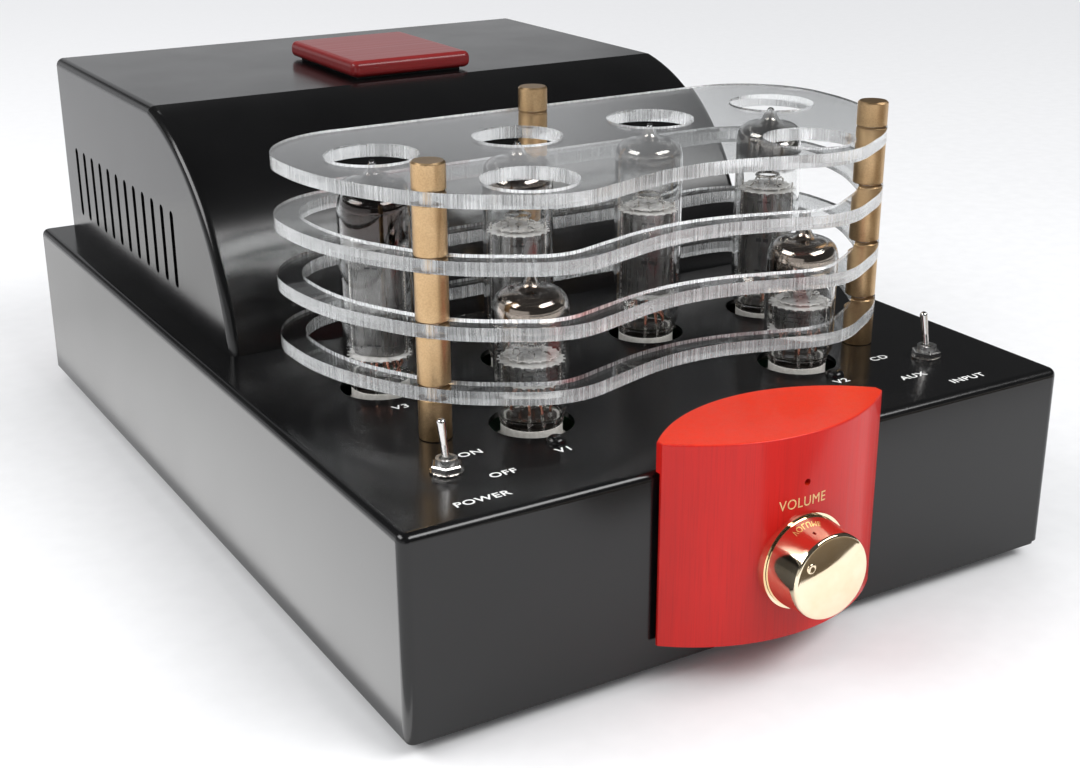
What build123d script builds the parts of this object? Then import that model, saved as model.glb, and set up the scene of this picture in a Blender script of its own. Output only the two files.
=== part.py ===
"""Stereo tube amplifier: a sheet-steel chassis with a curved transformer cover, six tubes inside an
acrylic guard on three brass posts, a wooden front block with the volume knob, and two toggles.

Millimetres. +X is right along the front, +Y runs from the front panel to the rear panel, +Z is up.
The origin is on the floor under the middle of the chassis.
"""

import os
from math import cos, radians, sin, sqrt

from build123d import *

os.makedirs("parts", exist_ok=True)

# Chassis, base plate and feet
chassis_width = 230.0
chassis_depth = 335.0
chassis_height = 59.5
chassis_sheet = 1.5
chassis_corner_radius = 3.0
chassis_edge_radius = 2.5
base_plate_thickness = 1.5
base_plate_margin = 1.0
foot_height = 4.5
foot_radius = 9.0
foot_edge_radius = 1.0
foot_recess = 3.0
foot_recess_radius = 3.4
foot_x = 91.5
foot_y = 149.0

# Levels and panels worked out from the chassis
chassis_bottom = foot_height + base_plate_thickness
deck = chassis_bottom + chassis_height
deck_underside = deck - chassis_sheet
front_panel = -chassis_depth / 2
rear_panel = chassis_depth / 2
panel_inside = front_panel + chassis_sheet
reach = 197.6

# Pan-head screws
screw_radius = 1.5
screw_head_radius = 2.8
screw_head_height = 1.8
screw_clearance = 0.15
tab_length = 14.0
tab_width = 12.0
tab_y = (-140.0, 0.0, 140.0)
tab_x = chassis_width / 2 - chassis_sheet - tab_width / 2

# Transformer cover
cover_half_width = 103.7
cover_back = 160.0
cover_height = 70.0
cover_sheet = 1.2
cover_edge_radius = 3.0
cover_arch_y = 59.4
cover_arch_z = -11.5
cover_arch_radius = 83.0
cover_flange_width = 12.0
cover_flange_y = (35.0, 150.0)
cover_screw_x = 95.0
cover_screw_y = (50.0, 140.0)
slot_count = 12
slot_pitch = 10.32
slot_width = 3.5
slot_length = 27.1
slot_middle_y = 84.3
slot_middle_z = 23.6

# Badge on the cover
badge_size = (49.0, 60.0, 6.0)
badge_middle_y = 79.0
badge_pad_thickness = 0.8
badge_pad_margin = 3.5
badge_edge_radius = 2.9

# Tubes and their sockets
rear_tube_x = (-73.5, -24.5, 24.5, 73.5)
rear_tube_y = -70.0
front_tube_x = (-49.0, 49.0)
front_tube_y = -119.3
power_tube_height = 70.0
signal_tube_height = 48.5
glass_radius = 11.0
glass_wall = 0.9
glass_base_radius = 9.3
glass_floor = 2.6
glass_neck_radius = 2.4
glass_tip_radius = 0.9
pin_radius = 0.5
pin_circle_radius = 5.95
pin_count = 9
pin_step = 36.0
pin_length = 7.0
socket_radius = 10.6
socket_rim_radius = 9.0
socket_rim_height = 5.0
socket_height = 16.0
socket_lift = 0.3
socket_hole_radius = 0.6
socket_hole_depth = 8.0
tube_opening_radius = 12.5
lower_mica = 11.0
mica_drop = 20.0
mica_thickness = 0.4
mica_clearance = 0.15
lead_radius = 0.35
anode_width = 14.0
anode_depth = 9.0
anode_sheet = 0.4
cathode_radius = 0.9
grid_post_x = 3.2
getter_radius = 3.2
getter_rise = 4.0

# Acrylic guard
acrylic = 4.0
band_width = 7.5
guard_back = -33.0
top_hole_radius = 14.0
level_pitch = 18.5
lowest_ring = 12.5
post_radius = 4.75
post_bore_radius = 2.1
rod_radius = 2.0
post_positions = ((-77.8, -114.8), (77.8, -114.8), (0.0, -37.8))
cap_height = 7.5
cap_chamfer = 0.5
rod_nut_height = 3.2
rod_nut_radius = 4.0
rod_tail = 1.0
cap_roof = 2.0
spacer_chamfer = 0.3

# Wooden front block and the dark spacer behind it
block_half_width = 38.5
block_gap = 1.5
block_bottom = chassis_bottom + 7.4
block_rise = 9.0
block_front = -184.3
block_front_tip = -169.8
block_back_tip = -167.2
block_back = -151.0
block_edge_radius = 0.6
spacer_margin = 3.0
block_screw_x = 24.0
block_screw_z = chassis_bottom + 22.0
nut_recess_radius = 8.5
nut_recess_depth = 8.0

# Volume control
knob_z = chassis_bottom + 30.3
knob_base_radius = 13.6
knob_face_radius = 12.7
knob_base = -185.2
knob_rim_radius = 0.9
knob_boss_radius = 6.0
knob_wall = 2.0
knob_setting = -58.0
dimple_offset = 9.1
dimple_radius = 1.1
ring_radius = 14.4
ring_clearance = 0.2
ring_bore_radius = 9.0
shaft_radius = 3.0
shaft_clearance = 0.05
bushing_radius = 4.5
bushing_reach = 6.5
pot_radius = 12.0
pot_depth = 11.0

# Remote-control eye in the block
eye_z = chassis_bottom + 54.0
eye_window_radius = 1.0
eye_radius = 1.5

# Toggle switches
toggle_positions = ((-86.5, -138.0), (86.5, -138.0))
toggle_lean = 12.0
toggle_pivot = 1.6
toggle_tip = 14.6
toggle_tip_radius = 1.3
toggle_neck_radius = 1.0
toggle_ball_radius = 1.97
toggle_foot = 3.5
toggle_pin_radius = 0.5
toggle_pin_length = 5.0
toggle_bushing_radius = 3.0
toggle_bushing_bore = 2.05
toggle_bushing_height = 4.2
toggle_body = (8.0, 13.0, 9.5)
washer_radius = 4.75
washer_thickness = 0.6
washer_teeth = 16
washer_notch = 0.8
nut_flats = 8.0
nut_height = 2.0
nut_chamfer = 0.35

# Circuit board and what it carries
board_width = 172.0
board_front = -142.0
board_back = -8.0
board_thickness = 1.6
board_screws = ((-50.7, -135.7), (50.7, -135.7), (-50.7, -15.0), (50.7, -15.0))
dome_radius = 2.8
dome_height = 1.9
standoff_radius = 3.0
main_capacitors = ((-30.0, -30.0), (0.0, -30.0), (30.0, -30.0))
main_capacitor_radius = 12.5
main_capacitor_height = 30.0
coupling_x = (-60.0, -36.0, 36.0, 60.0)
coupling_y = -98.0
coupling_radius = 5.0
coupling_length = 22.0

# Transformers under the cover: core width, core height, stack, coil overhang
mains_core = (78.0, 65.0, 40.0, 9.0)
output_core = (57.0, 47.5, 25.0, 7.0)
coil_gap = 0.4
mains_transformer_y = 120.0
output_transformer_x = 58.0
output_transformer_y = 52.0

# Rear panel connectors
inlet_x = 78.0
inlet_z = chassis_bottom + 29.0
inlet_flange = (32.0, 42.0, 2.5)
inlet_body = (27.0, 37.0, 26.0)
inlet_cavity = (22.5, 15.5, 17.0)
inlet_cavity_z = 6.5
inlet_pin = (2.0, 4.0, 11.0)
inlet_pin_spread = 7.0
drawer_size = (21.0, 7.5, 20.0)
drawer_z = -13.0
drawer_clearance = 0.1
drawer_front = 2.0
jack_x = (10.0, 28.0)
jack_z = (chassis_bottom + 20.0, chassis_bottom + 38.0)
jack_shell_radius = 4.15
jack_bore_radius = 1.65
jack_flange_radius = 6.0
jack_flange_thickness = 1.5
jack_reach = 9.5
jack_tail = 6.0
terminal_positions = (-95.0, -76.0, -48.0, -29.0)
terminal_z = chassis_bottom + 29.0
terminal_post_radius = 3.0
terminal_bore_radius = 2.05
terminal_bore_depth = 14.0
terminal_base_radius = 7.5
terminal_base_thickness = 6.0
terminal_tail = 8.0
terminal_lip = 1.2
terminal_cap_radius = 7.0
terminal_grips = 8
terminal_grip_radius = 1.6
terminal_grip_offset = 0.8
terminal_grip_start = 5.0
wire_hole_radius = 1.1

tube_positions = [(x, rear_tube_y) for x in rear_tube_x] + [(x, front_tube_y) for x in front_tube_x]
tube_heights = [power_tube_height] * len(rear_tube_x) + [signal_tube_height] * len(front_tube_x)
tab_positions = [(side * tab_x, y) for side in (-1, 1) for y in tab_y]
cover_screws_at = [(side * cover_screw_x, y) for side in (-1, 1) for y in cover_screw_y]
foot_positions = [(side_x * foot_x, side_y * foot_y) for side_x in (-1, 1) for side_y in (-1, 1)]
guard_levels = [deck + lowest_ring + level_pitch * level for level in range(4)]
post_top = guard_levels[-1] + acrylic
tube_foot = deck + socket_lift


def pan_screw(shank_length):
    """A pan-head screw whose head sits on the XY plane and whose shank runs down from it."""
    with BuildPart() as screw:
        Cylinder(screw_radius, shank_length, align=(Align.CENTER, Align.CENTER, Align.MAX))
        Cylinder(screw_head_radius, screw_head_height, align=(Align.CENTER, Align.CENTER, Align.MIN))
        fillet(screw.edges().group_by(Axis.Z)[-1], screw_head_height / 2)
    return screw.part


def arch_y(height, radius):
    """Where the cover's front arch of a given radius stands at a height above the deck."""
    return cover_arch_y - sqrt(radius**2 - (height - cover_arch_z) ** 2)


def guard_outline():
    """The guard's plan outline: straight back, full round ends, and a waist between two lobes."""
    half = [(100.5, guard_back, 30.0), (99.5, -86.5, 78.0), (80.0, -122.5, 55.0), (48.0, -142.0, 26.0)]
    left = [(-x, y, r) for x, y, r in half]
    corners = left + [(0.0, -127.0, 68.0)] + half[::-1]
    with BuildSketch() as outline:
        with BuildLine():
            FilletPolyline(
                *[(x, y) for x, y, r in corners], radius=[r for x, y, r in corners], close=True
            )
        make_face()
    return outline.sketch


def on_front(z, y=front_panel):
    """A plane that faces the front, at a height and a depth."""
    return Plane(origin=(0, y, z), x_dir=(1, 0, 0), z_dir=(0, -1, 0))


def on_rear(z, y=rear_panel):
    """A plane that faces the rear, at a height and a depth. Its x runs along the row's -X."""
    return Plane(origin=(0, y, z), x_dir=(-1, 0, 0), z_dir=(0, 1, 0))


# ---------------------------------------------------------------------------- chassis and base

with BuildPart() as chassis:
    with BuildSketch(Plane.XY.offset(chassis_bottom)):
        RectangleRounded(chassis_width, chassis_depth, chassis_corner_radius)
    extrude(amount=chassis_height)
    fillet(chassis.edges().group_by(Axis.Z)[-1], chassis_edge_radius)
    with BuildSketch(Plane.XY.offset(chassis_bottom)):
        RectangleRounded(
            chassis_width - 2 * chassis_sheet,
            chassis_depth - 2 * chassis_sheet,
            chassis_corner_radius - chassis_sheet,
        )
    extrude(amount=chassis_height - chassis_sheet, mode=Mode.SUBTRACT)
    # tabs for the base plate's screws
    with BuildSketch(Plane.XY.offset(chassis_bottom)):
        with Locations(*tab_positions):
            Rectangle(tab_width, tab_length)
    extrude(amount=chassis_sheet)
    with BuildSketch(Plane.XY.offset(chassis_bottom)):
        with Locations(*tab_positions):
            Circle(screw_radius)
    extrude(amount=chassis_sheet, mode=Mode.SUBTRACT)
    # deck openings
    with BuildSketch(Plane.XY.offset(deck_underside)):
        with Locations(*tube_positions):
            Circle(tube_opening_radius)
        with Locations(*post_positions):
            Circle(post_bore_radius)
        with Locations(*toggle_positions):
            Circle(toggle_bushing_radius + screw_clearance)
        with Locations(*(board_screws + tuple(cover_screws_at))):
            Circle(screw_radius + screw_clearance)
    extrude(amount=chassis_sheet, mode=Mode.SUBTRACT)
    # front panel openings
    with BuildSketch(on_front(knob_z)):
        Circle(bushing_radius + screw_clearance)
        with Locations((0, eye_z - knob_z)):
            Circle(eye_radius + screw_clearance)
        with Locations(
            (-block_screw_x, block_screw_z - knob_z), (block_screw_x, block_screw_z - knob_z)
        ):
            Circle(screw_radius + screw_clearance)
    extrude(amount=-chassis_sheet, mode=Mode.SUBTRACT)
    # rear panel openings
    with BuildSketch(on_rear(0)):
        with Locations((-inlet_x, inlet_z)):
            Rectangle(inlet_body[0], inlet_body[1])
        with Locations(*[(-x, z) for x in jack_x for z in jack_z]):
            Circle(jack_shell_radius)
        with Locations(*[(-x, terminal_z) for x in terminal_positions]):
            Circle(terminal_post_radius + 1.0)
    extrude(amount=-chassis_sheet, mode=Mode.SUBTRACT)
chassis.part.label = "chassis"
export_step(chassis.part, "parts/chassis.step")

with BuildPart() as base_plate:
    with BuildSketch(Plane.XY.offset(foot_height)):
        RectangleRounded(
            chassis_width - 2 * base_plate_margin,
            chassis_depth - 2 * base_plate_margin,
            chassis_corner_radius - base_plate_margin,
        )
        with Locations(*(tab_positions + foot_positions)):
            Circle(screw_radius + screw_clearance, mode=Mode.SUBTRACT)
    extrude(amount=base_plate_thickness)
base_plate.part.label = "base_plate"
export_step(base_plate.part, "parts/base_plate.step")

base_screw = pan_screw(base_plate_thickness + chassis_sheet + 2.0)
with BuildPart() as base_screws:
    with Locations(*[Location((x, y, foot_height), (180, 0, 0)) for x, y in tab_positions]):
        add(base_screw)
base_screws.part.label = "base_screws"
export_step(base_screws.part, "parts/base_screws.step")

with BuildPart() as feet:
    with BuildSketch():
        with Locations(*foot_positions):
            Circle(foot_radius)
    extrude(amount=foot_height)
    fillet(feet.edges().group_by(Axis.Z)[0], foot_edge_radius)
    with BuildSketch():
        with Locations(*foot_positions):
            Circle(foot_recess_radius)
    extrude(amount=foot_recess, mode=Mode.SUBTRACT)
    with BuildSketch():
        with Locations(*foot_positions):
            Circle(screw_radius)
    extrude(amount=foot_height, mode=Mode.SUBTRACT)
feet.part.label = "feet"
export_step(feet.part, "parts/feet.step")

foot_screw = pan_screw(foot_height - foot_recess + base_plate_thickness + 5.0)
with BuildPart() as foot_screws:
    with Locations(*[Location((x, y, foot_recess), (180, 0, 0)) for x, y in foot_positions]):
        add(foot_screw)
foot_screws.part.label = "foot_screws"
export_step(foot_screws.part, "parts/foot_screws.step")

# ---------------------------------------------------------------------------- transformer cover


def cover_solid(inset):
    """The cover's outer shape, drawn in by an inset at the sides, back, top and arch."""
    top = cover_height - inset
    radius = cover_arch_radius - inset
    middle_z = top / 2
    with BuildPart() as shape:
        with BuildSketch(Plane(origin=(0, 0, deck), x_dir=(0, 1, 0), z_dir=(1, 0, 0))):
            with BuildLine():
                Polyline(
                    (arch_y(0, radius), 0), (cover_back - inset, 0), (cover_back - inset, top),
                    (arch_y(top, radius), top),
                )
                ThreePointArc(
                    (arch_y(top, radius), top),
                    (arch_y(middle_z, radius), middle_z),
                    (arch_y(0, radius), 0),
                )
            make_face()
        extrude(amount=cover_half_width - inset, both=True)
        corner_edges = shape.edges().filter_by(
            lambda e: e.center().Z > deck + 0.1 and abs(e.center().X) > 1.0
        )
        back_edge = shape.edges().filter_by(Axis.X).sort_by(Axis.Z)[-2:].sort_by(Axis.Y)[-1]
        fillet(corner_edges + [back_edge], cover_edge_radius - inset)
    return shape.part


cover_outside = cover_solid(0.0)
cover_inside = cover_solid(cover_sheet)
with BuildPart() as transformer_cover:
    add(cover_outside)
    add(cover_inside, mode=Mode.SUBTRACT)
    with BuildSketch(Plane.YZ.offset(-cover_half_width)):
        with Locations((slot_middle_y, deck + slot_middle_z)):
            with GridLocations(slot_pitch, slot_length, slot_count, 1):
                SlotOverall(slot_length, slot_width, rotation=90)
    extrude(amount=2 * cover_half_width, mode=Mode.SUBTRACT)
    # flanges turned in along the deck, tapped for the cover screws
    flange_length = cover_flange_y[1] - cover_flange_y[0]
    with BuildSketch(Plane.XY.offset(deck)):
        for side in (-1, 1):
            with Locations(
                (
                    side * (cover_half_width - (cover_flange_width + cover_sheet) / 2),
                    sum(cover_flange_y) / 2,
                )
            ):
                Rectangle(cover_flange_width + cover_sheet / 2, flange_length)
    extrude(amount=chassis_sheet)
    with BuildSketch(Plane.XY.offset(deck)):
        with Locations(*cover_screws_at):
            Circle(screw_radius)
    extrude(amount=chassis_sheet, mode=Mode.SUBTRACT)
transformer_cover.part.label = "transformer_cover"
export_step(transformer_cover.part, "parts/transformer_cover.step")

cover_screw = pan_screw(2 * chassis_sheet + 2.0)
with BuildPart() as cover_screws:
    with Locations(*[Location((x, y, deck_underside), (180, 0, 0)) for x, y in cover_screws_at]):
        add(cover_screw)
cover_screws.part.label = "cover_screws"
export_step(cover_screws.part, "parts/cover_screws.step")

cover_top = deck + cover_height
with BuildPart() as badge_pad:
    with BuildSketch(Plane.XY.offset(cover_top)):
        with Locations((0, badge_middle_y)):
            Rectangle(badge_size[0] - 2 * badge_pad_margin, badge_size[1] - 2 * badge_pad_margin)
    extrude(amount=badge_pad_thickness)
badge_pad.part.label = "badge_pad"
export_step(badge_pad.part, "parts/badge_pad.step")

with BuildPart() as badge_plate:
    with BuildSketch(Plane.XY.offset(cover_top + badge_pad_thickness)):
        with Locations((0, badge_middle_y)):
            RectangleRounded(badge_size[0], badge_size[1], badge_edge_radius)
    extrude(amount=badge_size[2])
    fillet(badge_plate.faces().filter_by(Axis.Z).edges(), badge_edge_radius * 0.8)
badge_plate.part.label = "badge_plate"
export_step(badge_plate.part, "parts/badge_plate.step")

# ---------------------------------------------------------------------------- front block


def lens_outline(back_tip, back_apex):
    """Half-lens plan: a bowed front from tip to tip, and a back that is bowed or straight."""
    with BuildSketch() as outline:
        with BuildLine():
            ThreePointArc(
                (-block_half_width, block_front_tip), (0, block_front), (block_half_width, block_front_tip)
            )
            Line((block_half_width, block_front_tip), (block_half_width, back_tip))
            if back_apex == back_tip:
                Line((block_half_width, back_tip), (-block_half_width, back_tip))
            else:
                ThreePointArc(
                    (block_half_width, back_tip), (0, back_apex), (-block_half_width, back_tip)
                )
            Line((-block_half_width, back_tip), (-block_half_width, block_front_tip))
        make_face()
    return outline.sketch


block_back_face = front_panel - block_gap
lower_plan = lens_outline(block_back_face, block_back_face)
upper_plan = lens_outline(block_back_tip, block_back)
with BuildPart() as front_block:
    with BuildSketch(Plane.XY.offset(block_bottom)):
        add(lower_plan)
    extrude(amount=deck - block_bottom)
    with BuildSketch(Plane.XY.offset(deck)):
        add(upper_plan)
    extrude(amount=block_rise)
    fillet(front_block.faces().sort_by(Axis.Z)[-1].edges(), block_edge_radius)
    # clearance for the shaft, its nut, the eye and the screws
    with BuildSketch(on_front(knob_z, block_front)):
        Circle(shaft_radius + 1.0)
        with Locations((0, eye_z - knob_z)):
            Circle(eye_window_radius)
    extrude(amount=block_front - block_back_face, mode=Mode.SUBTRACT)
    with BuildSketch(on_front(knob_z, block_back_face)):
        Circle(nut_recess_radius)
        with Locations((0, eye_z - knob_z)):
            Circle(eye_radius + screw_clearance)
        with Locations(
            (-block_screw_x, block_screw_z - knob_z), (block_screw_x, block_screw_z - knob_z)
        ):
            Circle(screw_radius)
    extrude(amount=nut_recess_depth, mode=Mode.SUBTRACT)
front_block.part.label = "front_block"
export_step(front_block.part, "parts/front_block.step")

with BuildPart() as block_spacer:
    spacer_width = 2 * (block_half_width - spacer_margin)
    spacer_bottom = block_bottom + spacer_margin
    spacer_height = deck - chassis_edge_radius - spacer_bottom
    with BuildSketch(on_front(spacer_bottom + spacer_height / 2)):
        Rectangle(spacer_width, spacer_height)
        with Locations((0, knob_z - spacer_bottom - spacer_height / 2)):
            Circle(nut_recess_radius, mode=Mode.SUBTRACT)
        with Locations((0, eye_z - spacer_bottom - spacer_height / 2)):
            Circle(eye_radius + screw_clearance, mode=Mode.SUBTRACT)
        screw_rise = block_screw_z - spacer_bottom - spacer_height / 2
        with Locations((-block_screw_x, screw_rise), (block_screw_x, screw_rise)):
            Circle(screw_radius + screw_clearance, mode=Mode.SUBTRACT)
    extrude(amount=block_gap)
block_spacer.part.label = "block_spacer"
export_step(block_spacer.part, "parts/block_spacer.step")

block_screw = pan_screw(chassis_sheet + block_gap + 7.0)
with BuildPart() as block_screws:
    screw_spots = [(side * block_screw_x, panel_inside, block_screw_z) for side in (-1, 1)]
    with Locations(*[Location(spot, (-90, 0, 0)) for spot in screw_spots]):
        add(block_screw)
block_screws.part.label = "block_screws"
export_step(block_screws.part, "parts/block_screws.step")

with BuildPart() as remote_eye:
    with BuildSketch(on_front(eye_z, panel_inside)):
        Circle(eye_radius)
    extrude(amount=chassis_sheet + block_gap + nut_recess_depth - 2.0)
    fillet(remote_eye.edges().sort_by(Axis.Y)[0], eye_radius * 0.9)
    with BuildSketch(on_front(eye_z, panel_inside)):
        Circle(eye_radius + 1.0)
    extrude(amount=-4.0)
remote_eye.part.label = "remote_eye"
export_step(remote_eye.part, "parts/remote_eye.step")

# ---------------------------------------------------------------------------- volume control

knob_axis = Axis((0, 0, knob_z), (0, 1, 0))
knob_plane = Plane.XY.offset(knob_z)
knob_face = -reach
knob_floor = knob_face + 2.2
shaft_end = knob_floor + 0.2

with BuildPart() as volume_knob:
    with BuildSketch(knob_plane):
        with BuildLine():
            Polyline(
                (0, knob_floor), (0, knob_face), (knob_face_radius, knob_face),
                (knob_base_radius, knob_base), (knob_base_radius - knob_wall, knob_base),
                (knob_face_radius - knob_wall, knob_floor + 2.0), (knob_boss_radius, knob_floor + 2.0),
                (knob_boss_radius, knob_base + 0.6), (shaft_radius + shaft_clearance, knob_base + 0.6),
                (shaft_radius + shaft_clearance, knob_floor), (0, knob_floor),
            )
        make_face()
    revolve(axis=knob_axis)
    fillet(volume_knob.edges().sort_by(Axis.Y)[0], knob_rim_radius)
    dimple_x = dimple_offset * sin(radians(knob_setting))
    dimple_z = knob_z + dimple_offset * cos(radians(knob_setting))
    with Locations((dimple_x, knob_face - dimple_radius / 3, dimple_z)):
        Sphere(dimple_radius, mode=Mode.SUBTRACT)
volume_knob.part.label = "volume_knob"
export_step(volume_knob.part, "parts/volume_knob.step")

# the trim ring's back is scooped to sit on the bowed front of the block
with BuildPart() as knob_ring:
    with BuildSketch(on_front(knob_z, knob_base + ring_clearance)):
        Circle(ring_radius)
        Circle(ring_bore_radius, mode=Mode.SUBTRACT)
    extrude(amount=block_back_face - knob_base - ring_clearance, dir=(0, 1, 0))
    with BuildSketch(Plane.XY.offset(block_bottom)):
        add(lower_plan)
    extrude(amount=deck - block_bottom, mode=Mode.SUBTRACT)
knob_ring.part.label = "knob_ring"
export_step(knob_ring.part, "parts/knob_ring.step")

pot_back = panel_inside + pot_depth
with BuildPart() as volume_shaft:
    with BuildSketch(on_front(knob_z, pot_back - 2.0)):
        Circle(shaft_radius)
    extrude(amount=pot_back - 2.0 - shaft_end)
    chamfer(volume_shaft.edges().sort_by(Axis.Y)[0], 0.5)
volume_shaft.part.label = "volume_shaft"
export_step(volume_shaft.part, "parts/volume_shaft.step")

with BuildPart() as volume_pot:
    with BuildSketch(on_front(knob_z, pot_back)):
        Circle(pot_radius)
    extrude(amount=pot_depth)
    with BuildSketch(on_front(knob_z, panel_inside)):
        Circle(bushing_radius)
    extrude(amount=chassis_sheet + bushing_reach)
    with BuildSketch(on_front(knob_z, pot_back - 1.5)):
        Circle(shaft_radius + shaft_clearance)
    extrude(amount=pot_depth + chassis_sheet + bushing_reach, mode=Mode.SUBTRACT)
volume_pot.part.label = "volume_pot"
export_step(volume_pot.part, "parts/volume_pot.step")

with BuildPart() as pot_nut:
    with BuildSketch(on_front(knob_z)):
        RegularPolygon(6.5, 6)
        Circle(bushing_radius, mode=Mode.SUBTRACT)
    extrude(amount=2.4)
pot_nut.part.label = "pot_nut"
export_step(pot_nut.part, "parts/pot_nut.step")

# ---------------------------------------------------------------------------- tubes and sockets


def glass_profile(height, inset, floor):
    """Half section of a tube envelope: moulded base, straight wall, round shoulder, drawn tip."""
    wall = glass_radius - inset
    base = glass_base_radius - inset
    neck = glass_neck_radius - inset
    tip = max(glass_tip_radius - inset, 0.25)
    shoulder = height - 15.5
    crown = height - 7.5 - inset
    with BuildSketch(Plane.XZ) as section:
        with BuildLine():
            Polyline((0, floor), (base, floor), (base + 0.2, floor + 1.2 - inset))
            Spline(
                (base + 0.2, floor + 1.2 - inset), (wall, 6.5), tangents=((0.1, 1), (0, 1))
            )
            Line((wall, 6.5), (wall, shoulder))
            Spline(
                (wall, shoulder), (wall * 0.62, crown - 1.4), (neck, crown + 0.6),
                tangents=((0, 1), (-0.35, 1)),
            )
            Spline(
                (neck, crown + 0.6), (tip, height - 1.0 - inset), tangents=((-0.35, 1), (-0.1, 1))
            )
            Polyline(
                (tip, height - 1.0 - inset), (tip * 0.6, height - inset), (0, height - inset),
                (0, floor),
            )
        make_face()
    return section.sketch


pin_spots = [
    (pin_circle_radius * cos(radians(pin_step * step - 126.0)),
     pin_circle_radius * sin(radians(pin_step * step - 126.0)))
    for step in range(pin_count)
]

with BuildPart() as tube_sockets:
    with BuildSketch(Plane.XY.offset(tube_foot - socket_height)):
        with Locations(*tube_positions):
            Circle(socket_radius)
    extrude(amount=socket_height - socket_rim_height)
    with BuildSketch(Plane.XY.offset(tube_foot - socket_rim_height)):
        with Locations(*tube_positions):
            Circle(socket_rim_radius)
    extrude(amount=socket_rim_height)
    with BuildSketch(Plane.XY.offset(tube_foot)):
        with Locations(*tube_positions):
            with Locations(*pin_spots):
                Circle(socket_hole_radius)
    extrude(amount=-socket_hole_depth, mode=Mode.SUBTRACT)
tube_sockets.part.label = "tube_sockets"
export_step(tube_sockets.part, "parts/tube_sockets.step")

for number, ((tube_x, tube_y), tube_height) in enumerate(zip(tube_positions, tube_heights), 1):
    outside = glass_profile(tube_height, 0.0, 0.0)
    inside = glass_profile(tube_height, glass_wall, glass_floor)
    with BuildPart() as tube_glass:
        add(outside)
        revolve(axis=Axis.Z)
        with BuildSketch(Plane.XZ):
            add(inside)
        revolve(axis=Axis.Z, mode=Mode.SUBTRACT)
        with BuildSketch():
            with Locations(*pin_spots):
                Circle(pin_radius)
        extrude(amount=glass_floor + 1.0, mode=Mode.SUBTRACT)
    tube_glass.part.locate(Location((tube_x, tube_y, tube_foot)))
    tube_glass.part.label = f"tube_{number}_glass"
    export_step(tube_glass.part, f"parts/tube_{number}_glass.step")

    upper_mica = tube_height - mica_drop
    anode_height = upper_mica - lower_mica - mica_thickness
    with BuildPart() as tube_electrodes:
        # pins through the glass foot, thinner leads above them
        with BuildSketch(Plane.XY.offset(-pin_length)):
            with Locations(*pin_spots):
                Circle(pin_radius)
        extrude(amount=pin_length + glass_floor + 1.0)
        with BuildSketch(Plane.XY.offset(glass_floor)):
            with Locations(*pin_spots):
                Circle(lead_radius)
        extrude(amount=lower_mica - glass_floor)
        # mica discs
        with BuildSketch(Plane.XY.offset(lower_mica), Plane.XY.offset(upper_mica)):
            Circle(glass_radius - glass_wall - mica_clearance)
        extrude(amount=mica_thickness)
        # anode sleeve round the cathode and its two grid posts
        with BuildSketch(Plane.XY.offset(lower_mica + mica_thickness)):
            SlotOverall(anode_width, anode_depth)
            SlotOverall(
                anode_width - 2 * anode_sheet, anode_depth - 2 * anode_sheet, mode=Mode.SUBTRACT
            )
            Circle(cathode_radius)
            with Locations((-grid_post_x, 0), (grid_post_x, 0)):
                Circle(lead_radius)
        extrude(amount=anode_height)
        # getter ring on its stalk
        with BuildSketch(Plane.XY.offset(upper_mica)):
            with Locations((getter_radius, 0)):
                Circle(lead_radius)
        extrude(amount=getter_rise)
        with Locations((0, 0, upper_mica + getter_rise)):
            Torus(getter_radius, lead_radius)
    tube_electrodes.part.locate(Location((tube_x, tube_y, tube_foot)))
    tube_electrodes.part.label = f"tube_{number}_electrodes"
    export_step(tube_electrodes.part, f"parts/tube_{number}_electrodes.step")

# ---------------------------------------------------------------------------- acrylic guard

outline = guard_outline()
for number, level in enumerate(guard_levels[:-1], 1):
    with BuildPart() as guard_ring:
        with BuildSketch(Plane.XY.offset(level)):
            add(outline)
            offset(outline, amount=-band_width, mode=Mode.SUBTRACT)
            with Locations(*post_positions):
                Circle(post_bore_radius, mode=Mode.SUBTRACT)
        extrude(amount=acrylic)
    guard_ring.part.label = f"guard_ring_{number}"
    export_step(guard_ring.part, f"parts/guard_ring_{number}.step")

with BuildPart() as guard_top_plate:
    with BuildSketch(Plane.XY.offset(guard_levels[-1])):
        add(outline)
        with Locations(*tube_positions):
            Circle(top_hole_radius, mode=Mode.SUBTRACT)
        with Locations(*post_positions):
            Circle(post_bore_radius, mode=Mode.SUBTRACT)
    extrude(amount=acrylic)
guard_top_plate.part.label = "guard_top_plate"
export_step(guard_top_plate.part, "parts/guard_top_plate.step")

with BuildPart() as post_spacers:
    for bottom, top in zip([deck] + [level + acrylic for level in guard_levels[:-1]], guard_levels):
        with BuildSketch(Plane.XY.offset(bottom)):
            with Locations(*post_positions):
                Circle(post_radius)
                Circle(post_bore_radius, mode=Mode.SUBTRACT)
        extrude(amount=top - bottom)
    rims = post_spacers.edges().filter_by(GeomType.CIRCLE).filter_by(
        lambda e: e.radius > post_radius - 0.1
    )
    chamfer(rims, spacer_chamfer)
post_spacers.part.label = "post_spacers"
export_step(post_spacers.part, "parts/post_spacers.step")

with BuildPart() as post_caps:
    with BuildSketch(Plane.XY.offset(post_top)):
        with Locations(*post_positions):
            Circle(post_radius)
    extrude(amount=cap_height)
    chamfer(post_caps.edges().group_by(Axis.Z)[-1], cap_chamfer)
    with BuildSketch(Plane.XY.offset(post_top)):
        with Locations(*post_positions):
            Circle(rod_radius + shaft_clearance)
    extrude(amount=cap_height - cap_roof, mode=Mode.SUBTRACT)
post_caps.part.label = "post_caps"
export_step(post_caps.part, "parts/post_caps.step")

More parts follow.
